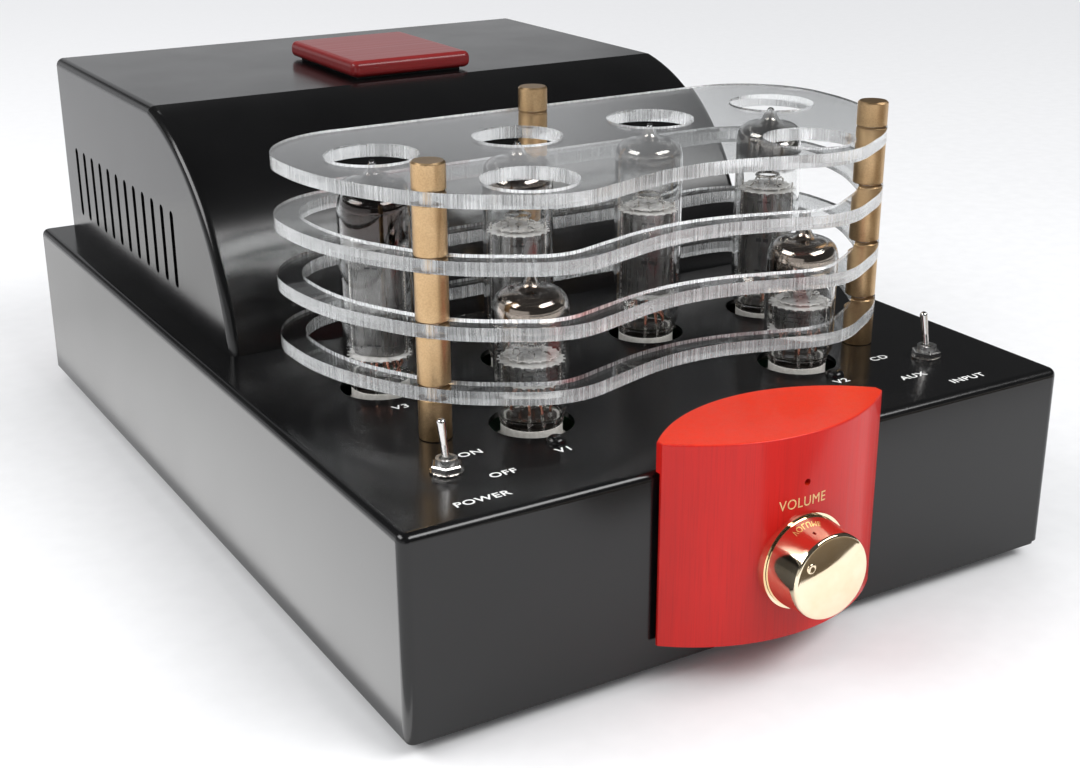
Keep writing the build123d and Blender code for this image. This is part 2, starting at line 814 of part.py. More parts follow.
rod_bottom = deck_underside - rod_nut_height - rod_tail
with BuildPart() as post_rods:
    with BuildSketch(Plane.XY.offset(rod_bottom)):
        with Locations(*post_positions):
            Circle(rod_radius)
    extrude(amount=post_top + cap_height - cap_roof - rod_tail - rod_bottom)
    with BuildSketch(Plane.XY.offset(deck_underside)):
        with Locations(*post_positions):
            RegularPolygon(rod_nut_radius, 6)
    extrude(amount=-rod_nut_height)
post_rods.part.label = "post_rods"
export_step(post_rods.part, "parts/post_rods.step")

# ---------------------------------------------------------------------------- toggle switches

pivot_z = deck + toggle_pivot
lever_length = (toggle_tip - toggle_pivot) / cos(radians(toggle_lean))
lean = radians(toggle_lean)
for switch, (switch_x, switch_y) in zip(("power", "input"), toggle_positions):
    with BuildPart() as switch_body:
        with BuildSketch(Plane.XY.offset(deck_underside)):
            with Locations((switch_x, switch_y)):
                Rectangle(toggle_body[0], toggle_body[1])
        extrude(amount=-toggle_body[2])
        with BuildSketch(Plane.XY.offset(deck_underside)):
            with Locations((switch_x, switch_y)):
                Circle(toggle_bushing_radius)
        extrude(amount=chassis_sheet + toggle_bushing_height)
        with BuildSketch(Plane.XY.offset(deck + toggle_bushing_height)):
            with Locations((switch_x, switch_y)):
                Circle(toggle_bushing_bore)
        extrude(amount=-(toggle_bushing_height + chassis_sheet + toggle_foot), mode=Mode.SUBTRACT)
        # cross hole for the lever's pin
        with BuildSketch(Plane.YZ.offset(switch_x)):
            with Locations((switch_y, pivot_z)):
                Circle(toggle_pin_radius + shaft_clearance)
        extrude(amount=toggle_pin_length / 2 + shaft_clearance, both=True, mode=Mode.SUBTRACT)
    switch_body.part.label = f"{switch}_switch_body"
    export_step(switch_body.part, f"parts/{switch}_switch_body.step")

    pivot = (switch_x, switch_y, pivot_z)
    lever_plane = Plane(origin=pivot, x_dir=(1, 0, 0), z_dir=(0, -cos(lean), sin(lean)))
    with BuildPart() as switch_lever:
        with BuildSketch(lever_plane):
            with BuildLine():
                Polyline(
                    (0, -toggle_foot), (toggle_neck_radius, -toggle_foot), (toggle_neck_radius, 1.0),
                    (toggle_neck_radius, lever_length * 0.45), (toggle_tip_radius, lever_length),
                    (0, lever_length), (0, -toggle_foot),
                )
            make_face()
        revolve(axis=Axis(pivot, (0, sin(lean), cos(lean))))
        fillet(switch_lever.edges().sort_by(Axis.Z)[-1], toggle_tip_radius * 0.95)
        with Locations(pivot):
            Sphere(toggle_ball_radius)
        with BuildSketch(Plane.YZ.offset(switch_x)):
            with Locations((switch_y, pivot_z)):
                Circle(toggle_pin_radius)
        extrude(amount=toggle_pin_length / 2, both=True)
    switch_lever.part.label = f"{switch}_switch_lever"
    export_step(switch_lever.part, f"parts/{switch}_switch_lever.step")

with BuildPart() as switch_washers:
    with BuildSketch(Plane.XY.offset(deck)):
        with Locations(*toggle_positions):
            Circle(washer_radius)
            Circle(toggle_bushing_radius + shaft_clearance, mode=Mode.SUBTRACT)
            with PolarLocations(washer_radius, washer_teeth):
                Rectangle(washer_notch, washer_notch, mode=Mode.SUBTRACT)
    extrude(amount=washer_thickness)
switch_washers.part.label = "switch_washers"
export_step(switch_washers.part, "parts/switch_washers.step")

with BuildPart() as switch_nuts:
    with BuildSketch(Plane.XY.offset(deck + washer_thickness)):
        with Locations(*toggle_positions):
            RegularPolygon(nut_flats / 2, 6, major_radius=False)
    extrude(amount=nut_height)
    chamfer(switch_nuts.faces().filter_by(Axis.Z).edges(), nut_chamfer)
    with BuildSketch(Plane.XY.offset(deck + washer_thickness)):
        with Locations(*toggle_positions):
            Circle(toggle_bushing_radius + shaft_clearance)
    extrude(amount=nut_height, mode=Mode.SUBTRACT)
switch_nuts.part.label = "switch_nuts"
export_step(switch_nuts.part, "parts/switch_nuts.step")

# ---------------------------------------------------------------------------- circuit board

board_top = tube_foot - socket_height
board_length = board_back - board_front
with BuildPart() as circuit_board:
    with BuildSketch(Plane.XY.offset(board_top)):
        with Locations((0, (board_front + board_back) / 2)):
            Rectangle(board_width, board_length)
    extrude(amount=-board_thickness)
circuit_board.part.label = "circuit_board"
export_step(circuit_board.part, "parts/circuit_board.step")

with BuildPart() as board_standoffs:
    with BuildSketch(Plane.XY.offset(board_top)):
        with Locations(*board_screws):
            RegularPolygon(standoff_radius, 6)
            Circle(screw_radius + shaft_clearance, mode=Mode.SUBTRACT)
    extrude(amount=deck_underside - board_top)
board_standoffs.part.label = "board_standoffs"
export_step(board_standoffs.part, "parts/board_standoffs.step")

with BuildPart() as deck_screws:
    with BuildSketch(Plane.XY.offset(deck)):
        with Locations(*board_screws):
            Circle(dome_radius)
    extrude(amount=dome_height)
    fillet(deck_screws.edges().group_by(Axis.Z)[-1], dome_height * 0.95)
    with BuildSketch(Plane.XY.offset(deck)):
        with Locations(*board_screws):
            Circle(screw_radius)
    extrude(amount=-(chassis_sheet + 6.0))
deck_screws.part.label = "deck_screws"
export_step(deck_screws.part, "parts/deck_screws.step")

board_underside = board_top - board_thickness
with BuildPart() as capacitors:
    with BuildSketch(Plane.XY.offset(board_underside)):
        with Locations(*main_capacitors):
            Circle(main_capacitor_radius)
    extrude(amount=-main_capacitor_height)
    fillet(capacitors.edges().group_by(Axis.Z)[0], 1.0)
    with BuildSketch(Plane.XZ.offset(-coupling_y)):
        with Locations(*[(x, board_underside - coupling_radius) for x in coupling_x]):
            Circle(coupling_radius)
    extrude(amount=coupling_length / 2, both=True)
capacitors.part.label = "capacitors"
export_step(capacitors.part, "parts/capacitors.step")

# ---------------------------------------------------------------------------- transformers


def transformer(width, height, stack, overhang):
    """An E-I core standing on the deck with its coil round the middle leg: two solids."""
    leg = width / 6
    with BuildPart() as core:
        with BuildSketch(Plane.XZ.offset(-stack / 2)):
            with Locations((0, height / 2)):
                Rectangle(width, height)
                with Locations((-1.5 * leg, 0), (1.5 * leg, 0)):
                    Rectangle(leg, height - 2 * leg, mode=Mode.SUBTRACT)
        extrude(amount=stack)
    with BuildPart() as coil:
        with BuildSketch(Plane.XY.offset(leg + coil_gap)):
            RectangleRounded(4 * leg - 2 * coil_gap, stack + 2 * overhang, overhang / 2)
            Rectangle(2 * leg + 2 * coil_gap, stack + 2 * coil_gap, mode=Mode.SUBTRACT)
        extrude(amount=height - 2 * leg - 2 * coil_gap)
    return [core.part, coil.part]


mains_pieces = transformer(*mains_core)
output_pieces = transformer(*output_core)
with BuildPart() as mains_transformer:
    with Locations((0, mains_transformer_y, deck)):
        add(mains_pieces)
mains_transformer.part.label = "mains_transformer"
export_step(mains_transformer.part, "parts/mains_transformer.step")

with BuildPart() as output_transformers:
    with Locations(
        (-output_transformer_x, output_transformer_y, deck),
        (output_transformer_x, output_transformer_y, deck),
    ):
        add(output_pieces)
output_transformers.part.label = "output_transformers"
export_step(output_transformers.part, "parts/output_transformers.step")

# ---------------------------------------------------------------------------- rear panel

inlet_face = rear_panel + inlet_flange[2]
with BuildPart() as power_inlet:
    with BuildSketch(on_rear(inlet_z)):
        with Locations((-inlet_x, 0)):
            RectangleRounded(inlet_flange[0], inlet_flange[1], 2.0)
    extrude(amount=inlet_flange[2])
    with BuildSketch(on_rear(inlet_z)):
        with Locations((-inlet_x, 0)):
            Rectangle(inlet_body[0], inlet_body[1])
    extrude(amount=-inlet_body[2])
    with BuildSketch(on_rear(inlet_z + inlet_cavity_z, inlet_face)):
        with Locations((-inlet_x, 0)):
            Rectangle(inlet_cavity[0], inlet_cavity[1])
    extrude(amount=-inlet_cavity[2], mode=Mode.SUBTRACT)
    with BuildSketch(on_rear(inlet_z + drawer_z, inlet_face)):
        with Locations((-inlet_x, 0)):
            Rectangle(drawer_size[0] + 2 * drawer_clearance, drawer_size[1] + 2 * drawer_clearance)
    extrude(amount=-(drawer_size[2] + drawer_clearance), mode=Mode.SUBTRACT)
power_inlet.part.label = "power_inlet"
export_step(power_inlet.part, "parts/power_inlet.step")

with BuildPart() as inlet_pins:
    with BuildSketch(on_rear(inlet_z + inlet_cavity_z, inlet_face - inlet_cavity[2])):
        with Locations(
            (-inlet_x - inlet_pin_spread, -1.5), (-inlet_x + inlet_pin_spread, -1.5), (-inlet_x, 2.5)
        ):
            Rectangle(inlet_pin[0], inlet_pin[1])
    extrude(amount=inlet_pin[2])
inlet_pins.part.label = "inlet_pins"
export_step(inlet_pins.part, "parts/inlet_pins.step")

with BuildPart() as fuse_drawer:
    with BuildSketch(on_rear(inlet_z + drawer_z, inlet_face)):
        with Locations((-inlet_x, 0)):
            Rectangle(drawer_size[0], drawer_size[1])
    extrude(amount=-(drawer_size[2] - drawer_clearance))
    with BuildSketch(on_rear(inlet_z + drawer_z, inlet_face)):
        with Locations((-inlet_x, 0)):
            RectangleRounded(drawer_size[0] + 3.0, drawer_size[1] + 2.0, 1.0)
    extrude(amount=drawer_front)
    # trough for the fuse
    with BuildSketch(Plane.XY.offset(inlet_z + drawer_z + drawer_size[1] / 2)):
        with Locations((inlet_x, inlet_face - drawer_size[2] / 2)):
            Rectangle(drawer_size[0] - 4.0, drawer_size[2] - 4.0)
    extrude(amount=-(drawer_size[1] - 1.5), mode=Mode.SUBTRACT)
fuse_drawer.part.label = "fuse_drawer"
export_step(fuse_drawer.part, "parts/fuse_drawer.step")

jack_spots = [(-x, z) for x in jack_x for z in jack_z]
with BuildPart() as input_jacks:
    with BuildSketch(on_rear(0)):
        with Locations(*jack_spots):
            Circle(jack_flange_radius)
    extrude(amount=jack_flange_thickness)
    with BuildSketch(on_rear(0)):
        with Locations(*jack_spots):
            Circle(jack_shell_radius)
    extrude(amount=jack_reach)
    with BuildSketch(on_rear(0)):
        with Locations(*jack_spots):
            Circle(jack_shell_radius - screw_clearance)
    extrude(amount=-jack_tail)
    with BuildSketch(on_rear(0, rear_panel + jack_reach)):
        with Locations(*jack_spots):
            Circle(jack_bore_radius)
    extrude(amount=-jack_reach, mode=Mode.SUBTRACT)
input_jacks.part.label = "input_jacks"
export_step(input_jacks.part, "parts/input_jacks.step")

terminal_spots = [(-x, terminal_z) for x in terminal_positions]
with BuildPart() as terminal_bases:
    with BuildSketch(on_rear(0)):
        with Locations(*terminal_spots):
            Circle(terminal_base_radius)
    extrude(amount=terminal_base_thickness)
    with BuildSketch(on_rear(0)):
        with Locations(*terminal_spots):
            Circle(terminal_post_radius + 1.0 - screw_clearance)
    extrude(amount=-chassis_sheet)
    with BuildSketch(on_rear(0, rear_panel + terminal_base_thickness)):
        with Locations(*terminal_spots):
            Circle(terminal_post_radius)
    extrude(amount=-(terminal_base_thickness + chassis_sheet), mode=Mode.SUBTRACT)
terminal_bases.part.label = "terminal_bases"
export_step(terminal_bases.part, "parts/terminal_bases.step")

with BuildPart() as terminal_posts:
    with BuildSketch(on_rear(0, reach)):
        with Locations(*terminal_spots):
            Circle(terminal_post_radius)
    extrude(amount=-(reach - rear_panel + terminal_tail))
    chamfer(terminal_posts.edges().group_by(Axis.Y)[-1], 0.4)
    with BuildSketch(on_rear(0, reach)):
        with Locations(*terminal_spots):
            Circle(terminal_bore_radius)
    extrude(amount=-terminal_bore_depth, mode=Mode.SUBTRACT)
    # cross holes for bare wire, just above the bases
    with BuildSketch(Plane.XY.offset(terminal_z - terminal_post_radius)):
        wire_y = rear_panel + terminal_base_thickness + wire_hole_radius + 0.5
        with Locations(*[(x, wire_y) for x in terminal_positions]):
            Circle(wire_hole_radius)
    extrude(amount=2 * terminal_post_radius, mode=Mode.SUBTRACT)
terminal_posts.part.label = "terminal_posts"
export_step(terminal_posts.part, "parts/terminal_posts.step")

cap_foot = rear_panel + terminal_base_thickness
for number, terminal_x in enumerate(terminal_positions, 1):
    with BuildPart() as terminal_cap:
        with BuildSketch(on_rear(terminal_z, cap_foot)):
            with Locations((-terminal_x, 0)):
                Circle(terminal_cap_radius)
                Circle(terminal_post_radius + shaft_clearance, mode=Mode.SUBTRACT)
        extrude(amount=reach - terminal_lip - cap_foot)
        chamfer(terminal_cap.edges().group_by(Axis.Y)[-1].sort_by(SortBy.LENGTH)[-1], 1.0)
        with BuildSketch(on_rear(terminal_z, cap_foot + terminal_grip_start)):
            with Locations((-terminal_x, 0)):
                with PolarLocations(terminal_cap_radius + terminal_grip_offset, terminal_grips):
                    Circle(terminal_grip_radius)
        extrude(amount=reach - cap_foot, mode=Mode.SUBTRACT)
    terminal_cap.part.label = f"terminal_cap_{number}"
    export_step(terminal_cap.part, f"parts/terminal_cap_{number}.step")
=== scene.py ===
"""Looks of the tube amplifier: studio, materials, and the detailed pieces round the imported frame.

Metres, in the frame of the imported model: +X right along the front, +Y to the rear panel, +Z up.
"""

import math
import random

import bpy
from mathutils import Matrix, Vector


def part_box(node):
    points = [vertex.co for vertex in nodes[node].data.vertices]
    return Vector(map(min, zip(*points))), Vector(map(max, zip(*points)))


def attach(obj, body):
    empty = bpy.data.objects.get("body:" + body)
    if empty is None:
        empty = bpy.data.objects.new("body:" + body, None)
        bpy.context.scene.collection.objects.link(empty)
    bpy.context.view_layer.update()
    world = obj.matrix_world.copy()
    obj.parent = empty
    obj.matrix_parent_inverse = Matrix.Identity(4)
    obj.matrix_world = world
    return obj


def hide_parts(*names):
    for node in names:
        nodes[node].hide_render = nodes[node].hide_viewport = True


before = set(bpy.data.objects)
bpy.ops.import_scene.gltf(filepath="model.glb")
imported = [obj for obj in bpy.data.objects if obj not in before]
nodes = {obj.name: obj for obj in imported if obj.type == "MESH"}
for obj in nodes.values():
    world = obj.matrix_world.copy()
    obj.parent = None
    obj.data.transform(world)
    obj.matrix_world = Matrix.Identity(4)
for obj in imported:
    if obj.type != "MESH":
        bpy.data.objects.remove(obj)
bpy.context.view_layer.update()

MM = 0.001

# ------------------------------------------------------------------------ places read from the frame

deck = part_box("chassis")[1].z
tube_names = [f"tube_{number}" for number in range(1, 7)]
glass_boxes = {name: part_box(f"{name}_glass") for name in tube_names}


def middle(node):
    """Centre of a CAD node's box."""
    low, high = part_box(node)
    return (low + high) / 2


# ------------------------------------------------------------------------ shader helpers


class Shader:
    """A material with its node tree, and short ways to add nodes and join them."""

    def __init__(self, name, **inputs):
        self.material = bpy.data.materials.new(name)
        self.material.use_nodes = True
        self.tree = self.material.node_tree
        self.surface = self.tree.nodes["Principled BSDF"]
        self.output = self.tree.nodes["Material Output"]
        self.fill(self.surface, inputs)

    def fill(self, node, inputs):
        """Set a node's inputs: a socket is linked and anything else is a value."""
        for key, value in inputs.items():
            name = key.replace("_", " ") if isinstance(key, str) else key
            socket = node.inputs[name]
            if isinstance(value, bpy.types.NodeSocket):
                self.tree.links.new(value, socket)
            else:
                socket.default_value = value

    def add(self, kind, inputs=None, **settings):
        """A new node of a kind, with its settings and inputs."""
        node = self.tree.nodes.new("ShaderNode" + kind)
        for key, value in settings.items():
            setattr(node, key, value)
        self.fill(node, inputs or {})
        return node

    def place(self, scale=(1, 1, 1), turn=(0, 0, 0)):
        """Object coordinates, turned and then scaled."""
        coordinates = self.add("TexCoord").outputs["Object"]
        mapping = self.add("Mapping", {"Vector": coordinates, "Scale": scale, "Rotation": turn})
        return mapping.outputs["Vector"]

    def noise(self, scale, stretch=(1, 1, 1), detail=3.0, roughness=0.5, distortion=0.0, turn=(0, 0, 0)):
        """Noise of a scale per metre, in object space."""
        node = self.add(
            "TexNoise",
            {
                "Vector": self.place(stretch, turn),
                "Scale": scale,
                "Detail": detail,
                "Roughness": roughness,
                "Distortion": distortion,
            },
        )
        return node.outputs["Fac"]

    def math(self, operation, *values):
        """A math node's result."""
        node = self.add("Math", operation=operation)
        self.fill(node, dict(enumerate(values)))
        return node.outputs[0]

    def spread(self, value, low, high, to_low=0.0, to_high=1.0):
        """Map a value's range to another, clamped."""
        node = self.add("MapRange", {0: value, 1: low, 2: high, 3: to_low, 4: to_high})
        return node.outputs[0]

    def ramp(self, value, *stops):
        """A colour ramp: stops are (position, colour)."""
        node = self.add("ValToRGB", {"Fac": value})
        elements = node.color_ramp.elements
        elements[0].position, elements[0].color = stops[0][0], (*stops[0][1], 1)
        elements[1].position, elements[1].color = stops[-1][0], (*stops[-1][1], 1)
        for position, colour in stops[1:-1]:
            elements.new(position).color = (*colour, 1)
        return node.outputs["Color"]

    def mix(self, factor, first, second):
        """Colour mixed from first to second."""
        node = self.add("Mix", data_type="RGBA")
        for index, value in ((0, factor), (6, first), (7, second)):
            if isinstance(value, tuple):
                value = (*value[:3], 1)
            self.fill(node, {index: value})
        return node.outputs[2]

    def bump(self, height, strength, distance=0.1 * MM, normal=None):
        """Bump from a height, over an earlier normal if there is one."""
        inputs = {"Height": height, "Strength": strength, "Distance": distance}
        if normal is not None:
            inputs["Normal"] = normal
        return self.add("Bump", inputs).outputs["Normal"]

    def set(self, **inputs):
        """Set the surface's inputs by name, with underscores for spaces."""
        self.fill(self.surface, inputs)

    def clear_shadow(self, share=0.9):
        """Let light through to what is behind, for clear pieces that would cast a black shadow."""
        path = self.add("LightPath")
        clear = self.add("BsdfTransparent", {"Color": (share, share, share, 1)})
        factor = self.math("MAXIMUM", path.outputs["Is Shadow Ray"], path.outputs["Is Diffuse Ray"])
        mixed = self.add(
            "MixShader", {0: factor, 1: self.surface.outputs[0], 2: clear.outputs[0]}
        )
        self.tree.links.new(mixed.outputs[0], self.output.inputs["Surface"])


# ------------------------------------------------------------------------ materials


def black_coat():
    """Semi-gloss black powder coat: a dark film with a very fine orange peel."""
    s = Shader("black_powder_coat")
    peel = s.noise(1100, detail=2.0)
    cloud = s.noise(35, detail=3.0)
    s.set(
        Base_Color=s.ramp(cloud, (0.3, (0.0028, 0.0028, 0.003)), (0.7, (0.0040, 0.0040, 0.0042))),
        Roughness=s.spread(cloud, 0.3, 0.7, 0.17, 0.21),
        IOR=1.5,
        Normal=s.bump(peel, 0.05, 0.05 * MM),
    )
    return s.material


def clear_acrylic():
    """Clear acrylic with polished faces; the cut edges carry fine upright machining lines."""
    s = Shader("clear_acrylic")
    lines = s.noise(1.0, stretch=(2200, 2200, 9), detail=3.0)
    normal = s.add("NewGeometry").outputs["Normal"]
    upright = s.add("SeparateXYZ", {"Vector": normal}).outputs["Z"]
    edge = s.spread(s.math("ABSOLUTE", upright), 0.2, 0.5, 1.0, 0.0)
    frosting = s.math("MULTIPLY", edge, s.spread(lines, 0.4, 0.65, 0.06, 0.30))
    s.set(
        Base_Color=(0.965, 0.98, 0.98, 1),
        Roughness=s.math("MULTIPLY", edge, 0.05),
        IOR=1.49,
        Transmission_Weight=s.math("SUBTRACT", 1.0, frosting),
        Normal=s.bump(lines, s.math("MULTIPLY", edge, 0.9), 0.2 * MM),
    )
    s.clear_shadow(0.93)
    return s.material


def tube_glass():
    """Thin clear tube glass."""
    s = Shader("tube_glass")
    wave = s.noise(60, stretch=(1, 1, 0.4), detail=1.0)
    s.set(
        Base_Color=(0.975, 0.98, 0.978, 1),
        Roughness=0.0,
        IOR=1.43,
        Transmission_Weight=1.0,
        Normal=s.bump(wave, 0.05, 0.3 * MM),
    )
    s.clear_shadow(0.93)
    return s.material


def getter_film(name, margin, colour, low, high):
    """Getter mirror inside a tube's crown: dark where it thins out to a ragged lower edge."""
    s = Shader(name)
    height = s.add("SeparateXYZ", {"Vector": s.place()}).outputs["Z"]
    ragged = s.noise(140, detail=5.0, roughness=0.6)
    shifted = s.math("ADD", height, s.spread(ragged, 0.3, 0.7, -1.2 * MM, 1.2 * MM))
    cover = s.spread(shifted, low, high, 0.0, 1.0)
    patch = s.noise(90, detail=3.0)
    dark = tuple(0.6 * c for c in colour)
    thickness = s.spread(shifted, high, high + 4.5 * MM)
    s.set(
        Base_Color=s.mix(thickness, margin, s.mix(patch, dark, colour)),
        Metallic=1.0,
        Roughness=s.spread(patch, 0.3, 0.7, 0.03, 0.09),
        Alpha=cover,
    )
    return s.material


def turned_brass():
    """Satin turned brass: fine rings left by the tool, and a little mottling."""
    s = Shader("turned_brass")
    rings = s.noise(1.0, stretch=(60, 60, 6000), detail=2.0)
    grain = s.noise(2100, detail=2.0)
    cloud = s.noise(120, detail=4.0)
    tone = s.ramp(cloud, (0.3, (0.53, 0.35, 0.18)), (0.7, (0.67, 0.47, 0.265)))
    s.set(
        Base_Color=s.mix(s.spread(grain, 0.35, 0.65, 0.3, 0.0), tone, (0.30, 0.17, 0.08)),
        Metallic=1.0,
        Roughness=s.spread(grain, 0.3, 0.7, 0.3, 0.42),
        Anisotropic=0.45,
        Normal=s.bump(grain, 0.6, 0.05 * MM, s.bump(rings, 0.2, 0.03 * MM)),
    )
    tangent = s.add("Tangent", direction_type="RADIAL", axis="Z")
    s.set(Tangent=tangent.outputs[0])
    return s.material


def polished_gold():
    """Polished gold plate with faint haze."""
    s = Shader("polished_gold")
    haze = s.noise(200, detail=4.0)
    s.set(
        Base_Color=s.ramp(haze, (0.3, (0.95, 0.78, 0.54)), (0.7, (1.0, 0.86, 0.64))),
        Metallic=1.0,
        Roughness=s.spread(haze, 0.3, 0.7, 0.035, 0.09),
        Normal=s.bump(s.noise(900, detail=2.0), 0.02, 0.02 * MM),
    )
    return s.material


def bright_metal(name, colour, roughness, scale=1500):
    """Plated or polished metal with fine tooling marks."""
    s = Shader(name)
    marks = s.noise(scale, detail=3.0)
    dark = tuple(0.86 * c for c in colour)
    s.set(
        Base_Color=s.mix(marks, dark, colour),
        Metallic=1.0,
        Roughness=s.spread(marks, 0.3, 0.7, roughness * 0.7, roughness * 1.35),
        Normal=s.bump(marks, 0.05, 0.02 * MM),
    )
    return s.material


def stained_wood(name, front, top, grain_along, coat_roughness):
    """Stained, lacquered wood: faint streaks along the grain, fine pores, and painted top light: faces that
    look up take a lighter colour than the front.
    """
    s = Shader(name)
    stretch = tuple(8.0 if axis == grain_along else 420.0 for axis in "xyz")
    fine_stretch = tuple(60.0 if axis == grain_along else 2400.0 for axis in "xyz")
    streaks = s.noise(1.0, stretch=stretch, detail=4.0, roughness=0.6)
    pores = s.noise(1.0, stretch=fine_stretch, detail=2.0)
    drift = s.noise(26, detail=2.0)
    normal = s.add("NewGeometry").outputs["Normal"]
    painted_top_light = s.spread(s.add("SeparateXYZ", {"Vector": normal}).outputs["Z"], 0.5, 0.9)
    # front and top are shaded and lit copies of one stain: the lighter top is painted top light, used where
    # a face looks up.
    body = s.mix(painted_top_light, front, top)
    shade = s.mix(painted_top_light, tuple(0.62 * c for c in front), tuple(0.74 * c for c in top))
    streaked = s.mix(s.spread(streaks, 0.3, 0.7, 0.3, 0.0), body, shade)
    pored = s.mix(s.spread(pores, 0.3, 0.5, 0.4, 0.0), streaked, shade)
    drifted = s.mix(s.spread(drift, 0.35, 0.65, 0.0, 0.3), pored, shade)
    s.set(
        Base_Color=drifted,
        Roughness=s.spread(streaks, 0.3, 0.7, 0.45, 0.6),
        Specular_IOR_Level=0.15,
        Normal=s.bump(pores, 0.08, 0.03 * MM),
    )
    s.set(Coat_Weight=0.55, Coat_Roughness=coat_roughness, Coat_IOR=1.45)
    return s.material


def moulded_plastic(name, colour, roughness=0.42):
    """Moulded plastic with a fine spark-eroded texture."""
    s = Shader(name)
    texture = s.noise(3500, detail=2.0)
    cloud = s.noise(150, detail=3.0)
    s.set(
        Base_Color=s.mix(cloud, tuple(0.85 * c for c in colour), colour),
        Roughness=s.spread(cloud, 0.3, 0.7, roughness * 0.9, roughness * 1.15),
        Normal=s.bump(texture, 0.12, 0.03 * MM),
    )
    return s.material


def grey_anode():
    """Matt grey carbonised nickel of the anodes, with faint rolling lines."""
    s = Shader("anode_metal")
    lines = s.noise(1.0, stretch=(900, 900, 60), detail=3.0)
    cloud = s.noise(160, detail=4.0)
    s.set(
        Base_Color=s.ramp(cloud, (0.3, (0.10, 0.096, 0.092)), (0.7, (0.21, 0.205, 0.20))),
        Metallic=0.85,
        Roughness=s.spread(lines, 0.3, 0.7, 0.22, 0.36),
        Normal=s.bump(lines, 0.15, 0.03 * MM),
    )
    return s.material


def mica_sheet():
    """Mica discs: pale, slightly see-through, with cloudy layers."""
    s = Shader("mica")
    layers = s.noise(260, detail=5.0)
    s.set(
        Base_Color=s.ramp(layers, (0.3, (0.62, 0.60, 0.57)), (0.7, (0.86, 0.85, 0.83))),
        Roughness=s.spread(layers, 0.3, 0.7, 0.2, 0.45),
        Alpha=s.spread(layers, 0.3, 0.7, 0.55, 0.8),
    )
    return s.material


def circuit_green():
    """Green solder mask with faint tracks under it."""
    s = Shader("solder_mask")
    tracks = s.add("TexVoronoi", {"Vector": s.place((170, 170, 1)), "Scale": 1.0}, distance="MANHATTAN")
    edge = s.spread(tracks.outputs["Distance"], 0.18, 0.22, 0.0, 1.0)
    s.set(Base_Color=s.mix(edge, (0.03, 0.16, 0.06), (0.015, 0.09, 0.035)), Roughness=0.3)
    return s.material


def laminated_iron():
    """Varnished transformer laminations, seen edge-on as fine lines along the stack."""
    s = Shader("laminations")
    leaves = s.noise(1.0, stretch=(20, 3000, 20), detail=1.0)
    s.set(
        Base_Color=s.ramp(leaves, (0.35, (0.05, 0.045, 0.04)), (0.65, (0.15, 0.14, 0.13))),
        Metallic=0.6,
        Roughness=0.45,
        Normal=s.bump(leaves, 0.3, 0.05 * MM),
    )
    return s.material


def socket_ceramic():
    """Pale socket rims, dark within about 8 mm of each tube's axis."""
    s = Shader("socket_ceramic")
    specks = s.noise(800, detail=3.0)
    body = s.ramp(specks, (0.3, (0.50, 0.48, 0.44)), (0.7, (0.66, 0.64, 0.60)))
    place = s.place()
    nearest = None
    for name in tube_names:
        spot = middle(f"{name}_glass")
        flat = s.add("VectorMath", {0: place, 1: (1, 1, 0)}, operation="MULTIPLY").outputs["Vector"]
        gap = s.add("VectorMath", {0: flat, 1: (spot.x, spot.y, 0)}, operation="DISTANCE").outputs["Value"]
        nearest = gap if nearest is None else s.math("MINIMUM", nearest, gap)
    rim = s.spread(nearest, 7.9 * MM, 8.3 * MM)
    s.set(
        Base_Color=s.mix(rim, (0.03, 0.024, 0.02), body),
        Roughness=0.4,
        Normal=s.bump(specks, 0.06, 0.03 * MM),
    )
    return s.material


def label_paint(name, colour, metallic=0.0):
    """Screen-printed ink."""
    s = Shader(name)
    wear = s.noise(1800, detail=3.0)
    s.set(
        Base_Color=s.mix(s.spread(wear, 0.25, 0.5, 0.0, 1.0), tuple(0.75 * c for c in colour), colour),
        Metallic=metallic,
        Roughness=s.spread(wear, 0.3, 0.7, 0.4, 0.55),
    )
    return s.material


def black_rubber():
    """Matt black rubber."""
    s = Shader("black_rubber")
    dust = s.noise(700, detail=4.0)
    s.set(
        Base_Color=s.ramp(dust, (0.3, (0.012, 0.012, 0.012)), (0.7, (0.026, 0.026, 0.026))),
        Roughness=s.spread(dust, 0.3, 0.7, 0.6, 0.8),
        Normal=s.bump(dust, 0.1, 0.05 * MM),
    )
    return s.material


looks = {
    "coat": black_coat(),
    "acrylic": clear_acrylic(),
    "glass": tube_glass(),
    "brass": turned_brass(),
    "gold": polished_gold(),
    "chrome": bright_metal("plated_steel", (0.80, 0.78, 0.76), 0.13),
    "steel": bright_metal("zinc_steel", (0.62, 0.62, 0.62), 0.34),
    # each wood takes a front colour and a lighter top colour: the lighter top is painted top light.
    "block_wood": stained_wood("red_wood", (0.54, 0.008, 0.005), (0.66, 0.028, 0.005), "z", 0.17),
    "badge_wood": stained_wood("badge_wood", (0.17, 0.008, 0.009), (0.22, 0.012, 0.012), "x", 0.13),
    "black_plastic": moulded_plastic("black_plastic", (0.018, 0.018, 0.019)),
    "red_plastic": moulded_plastic("red_plastic", (0.45, 0.015, 0.012), 0.3),
    "eye": moulded_plastic("eye_window", (0.02, 0.004, 0.006), 0.12),
    "sleeve": moulded_plastic("capacitor_sleeve", (0.03, 0.05, 0.12), 0.3),
    "anode": grey_anode(),
    "mica": mica_sheet(),
    "board": circuit_green(),
    "iron": laminated_iron(),
    "ceramic": socket_ceramic(),
    "white_ink": label_paint("white_ink", (0.82, 0.82, 0.80)),
    "gold_ink": label_paint("gold_ink", (0.86, 0.62, 0.30), 0.55),
    "rubber": black_rubber(),
    "copper": bright_metal("copper_wire", (0.84, 0.40, 0.28), 0.22),
    "nickel": bright_metal("nickel_wire", (0.66, 0.64, 0.61), 0.25),
}

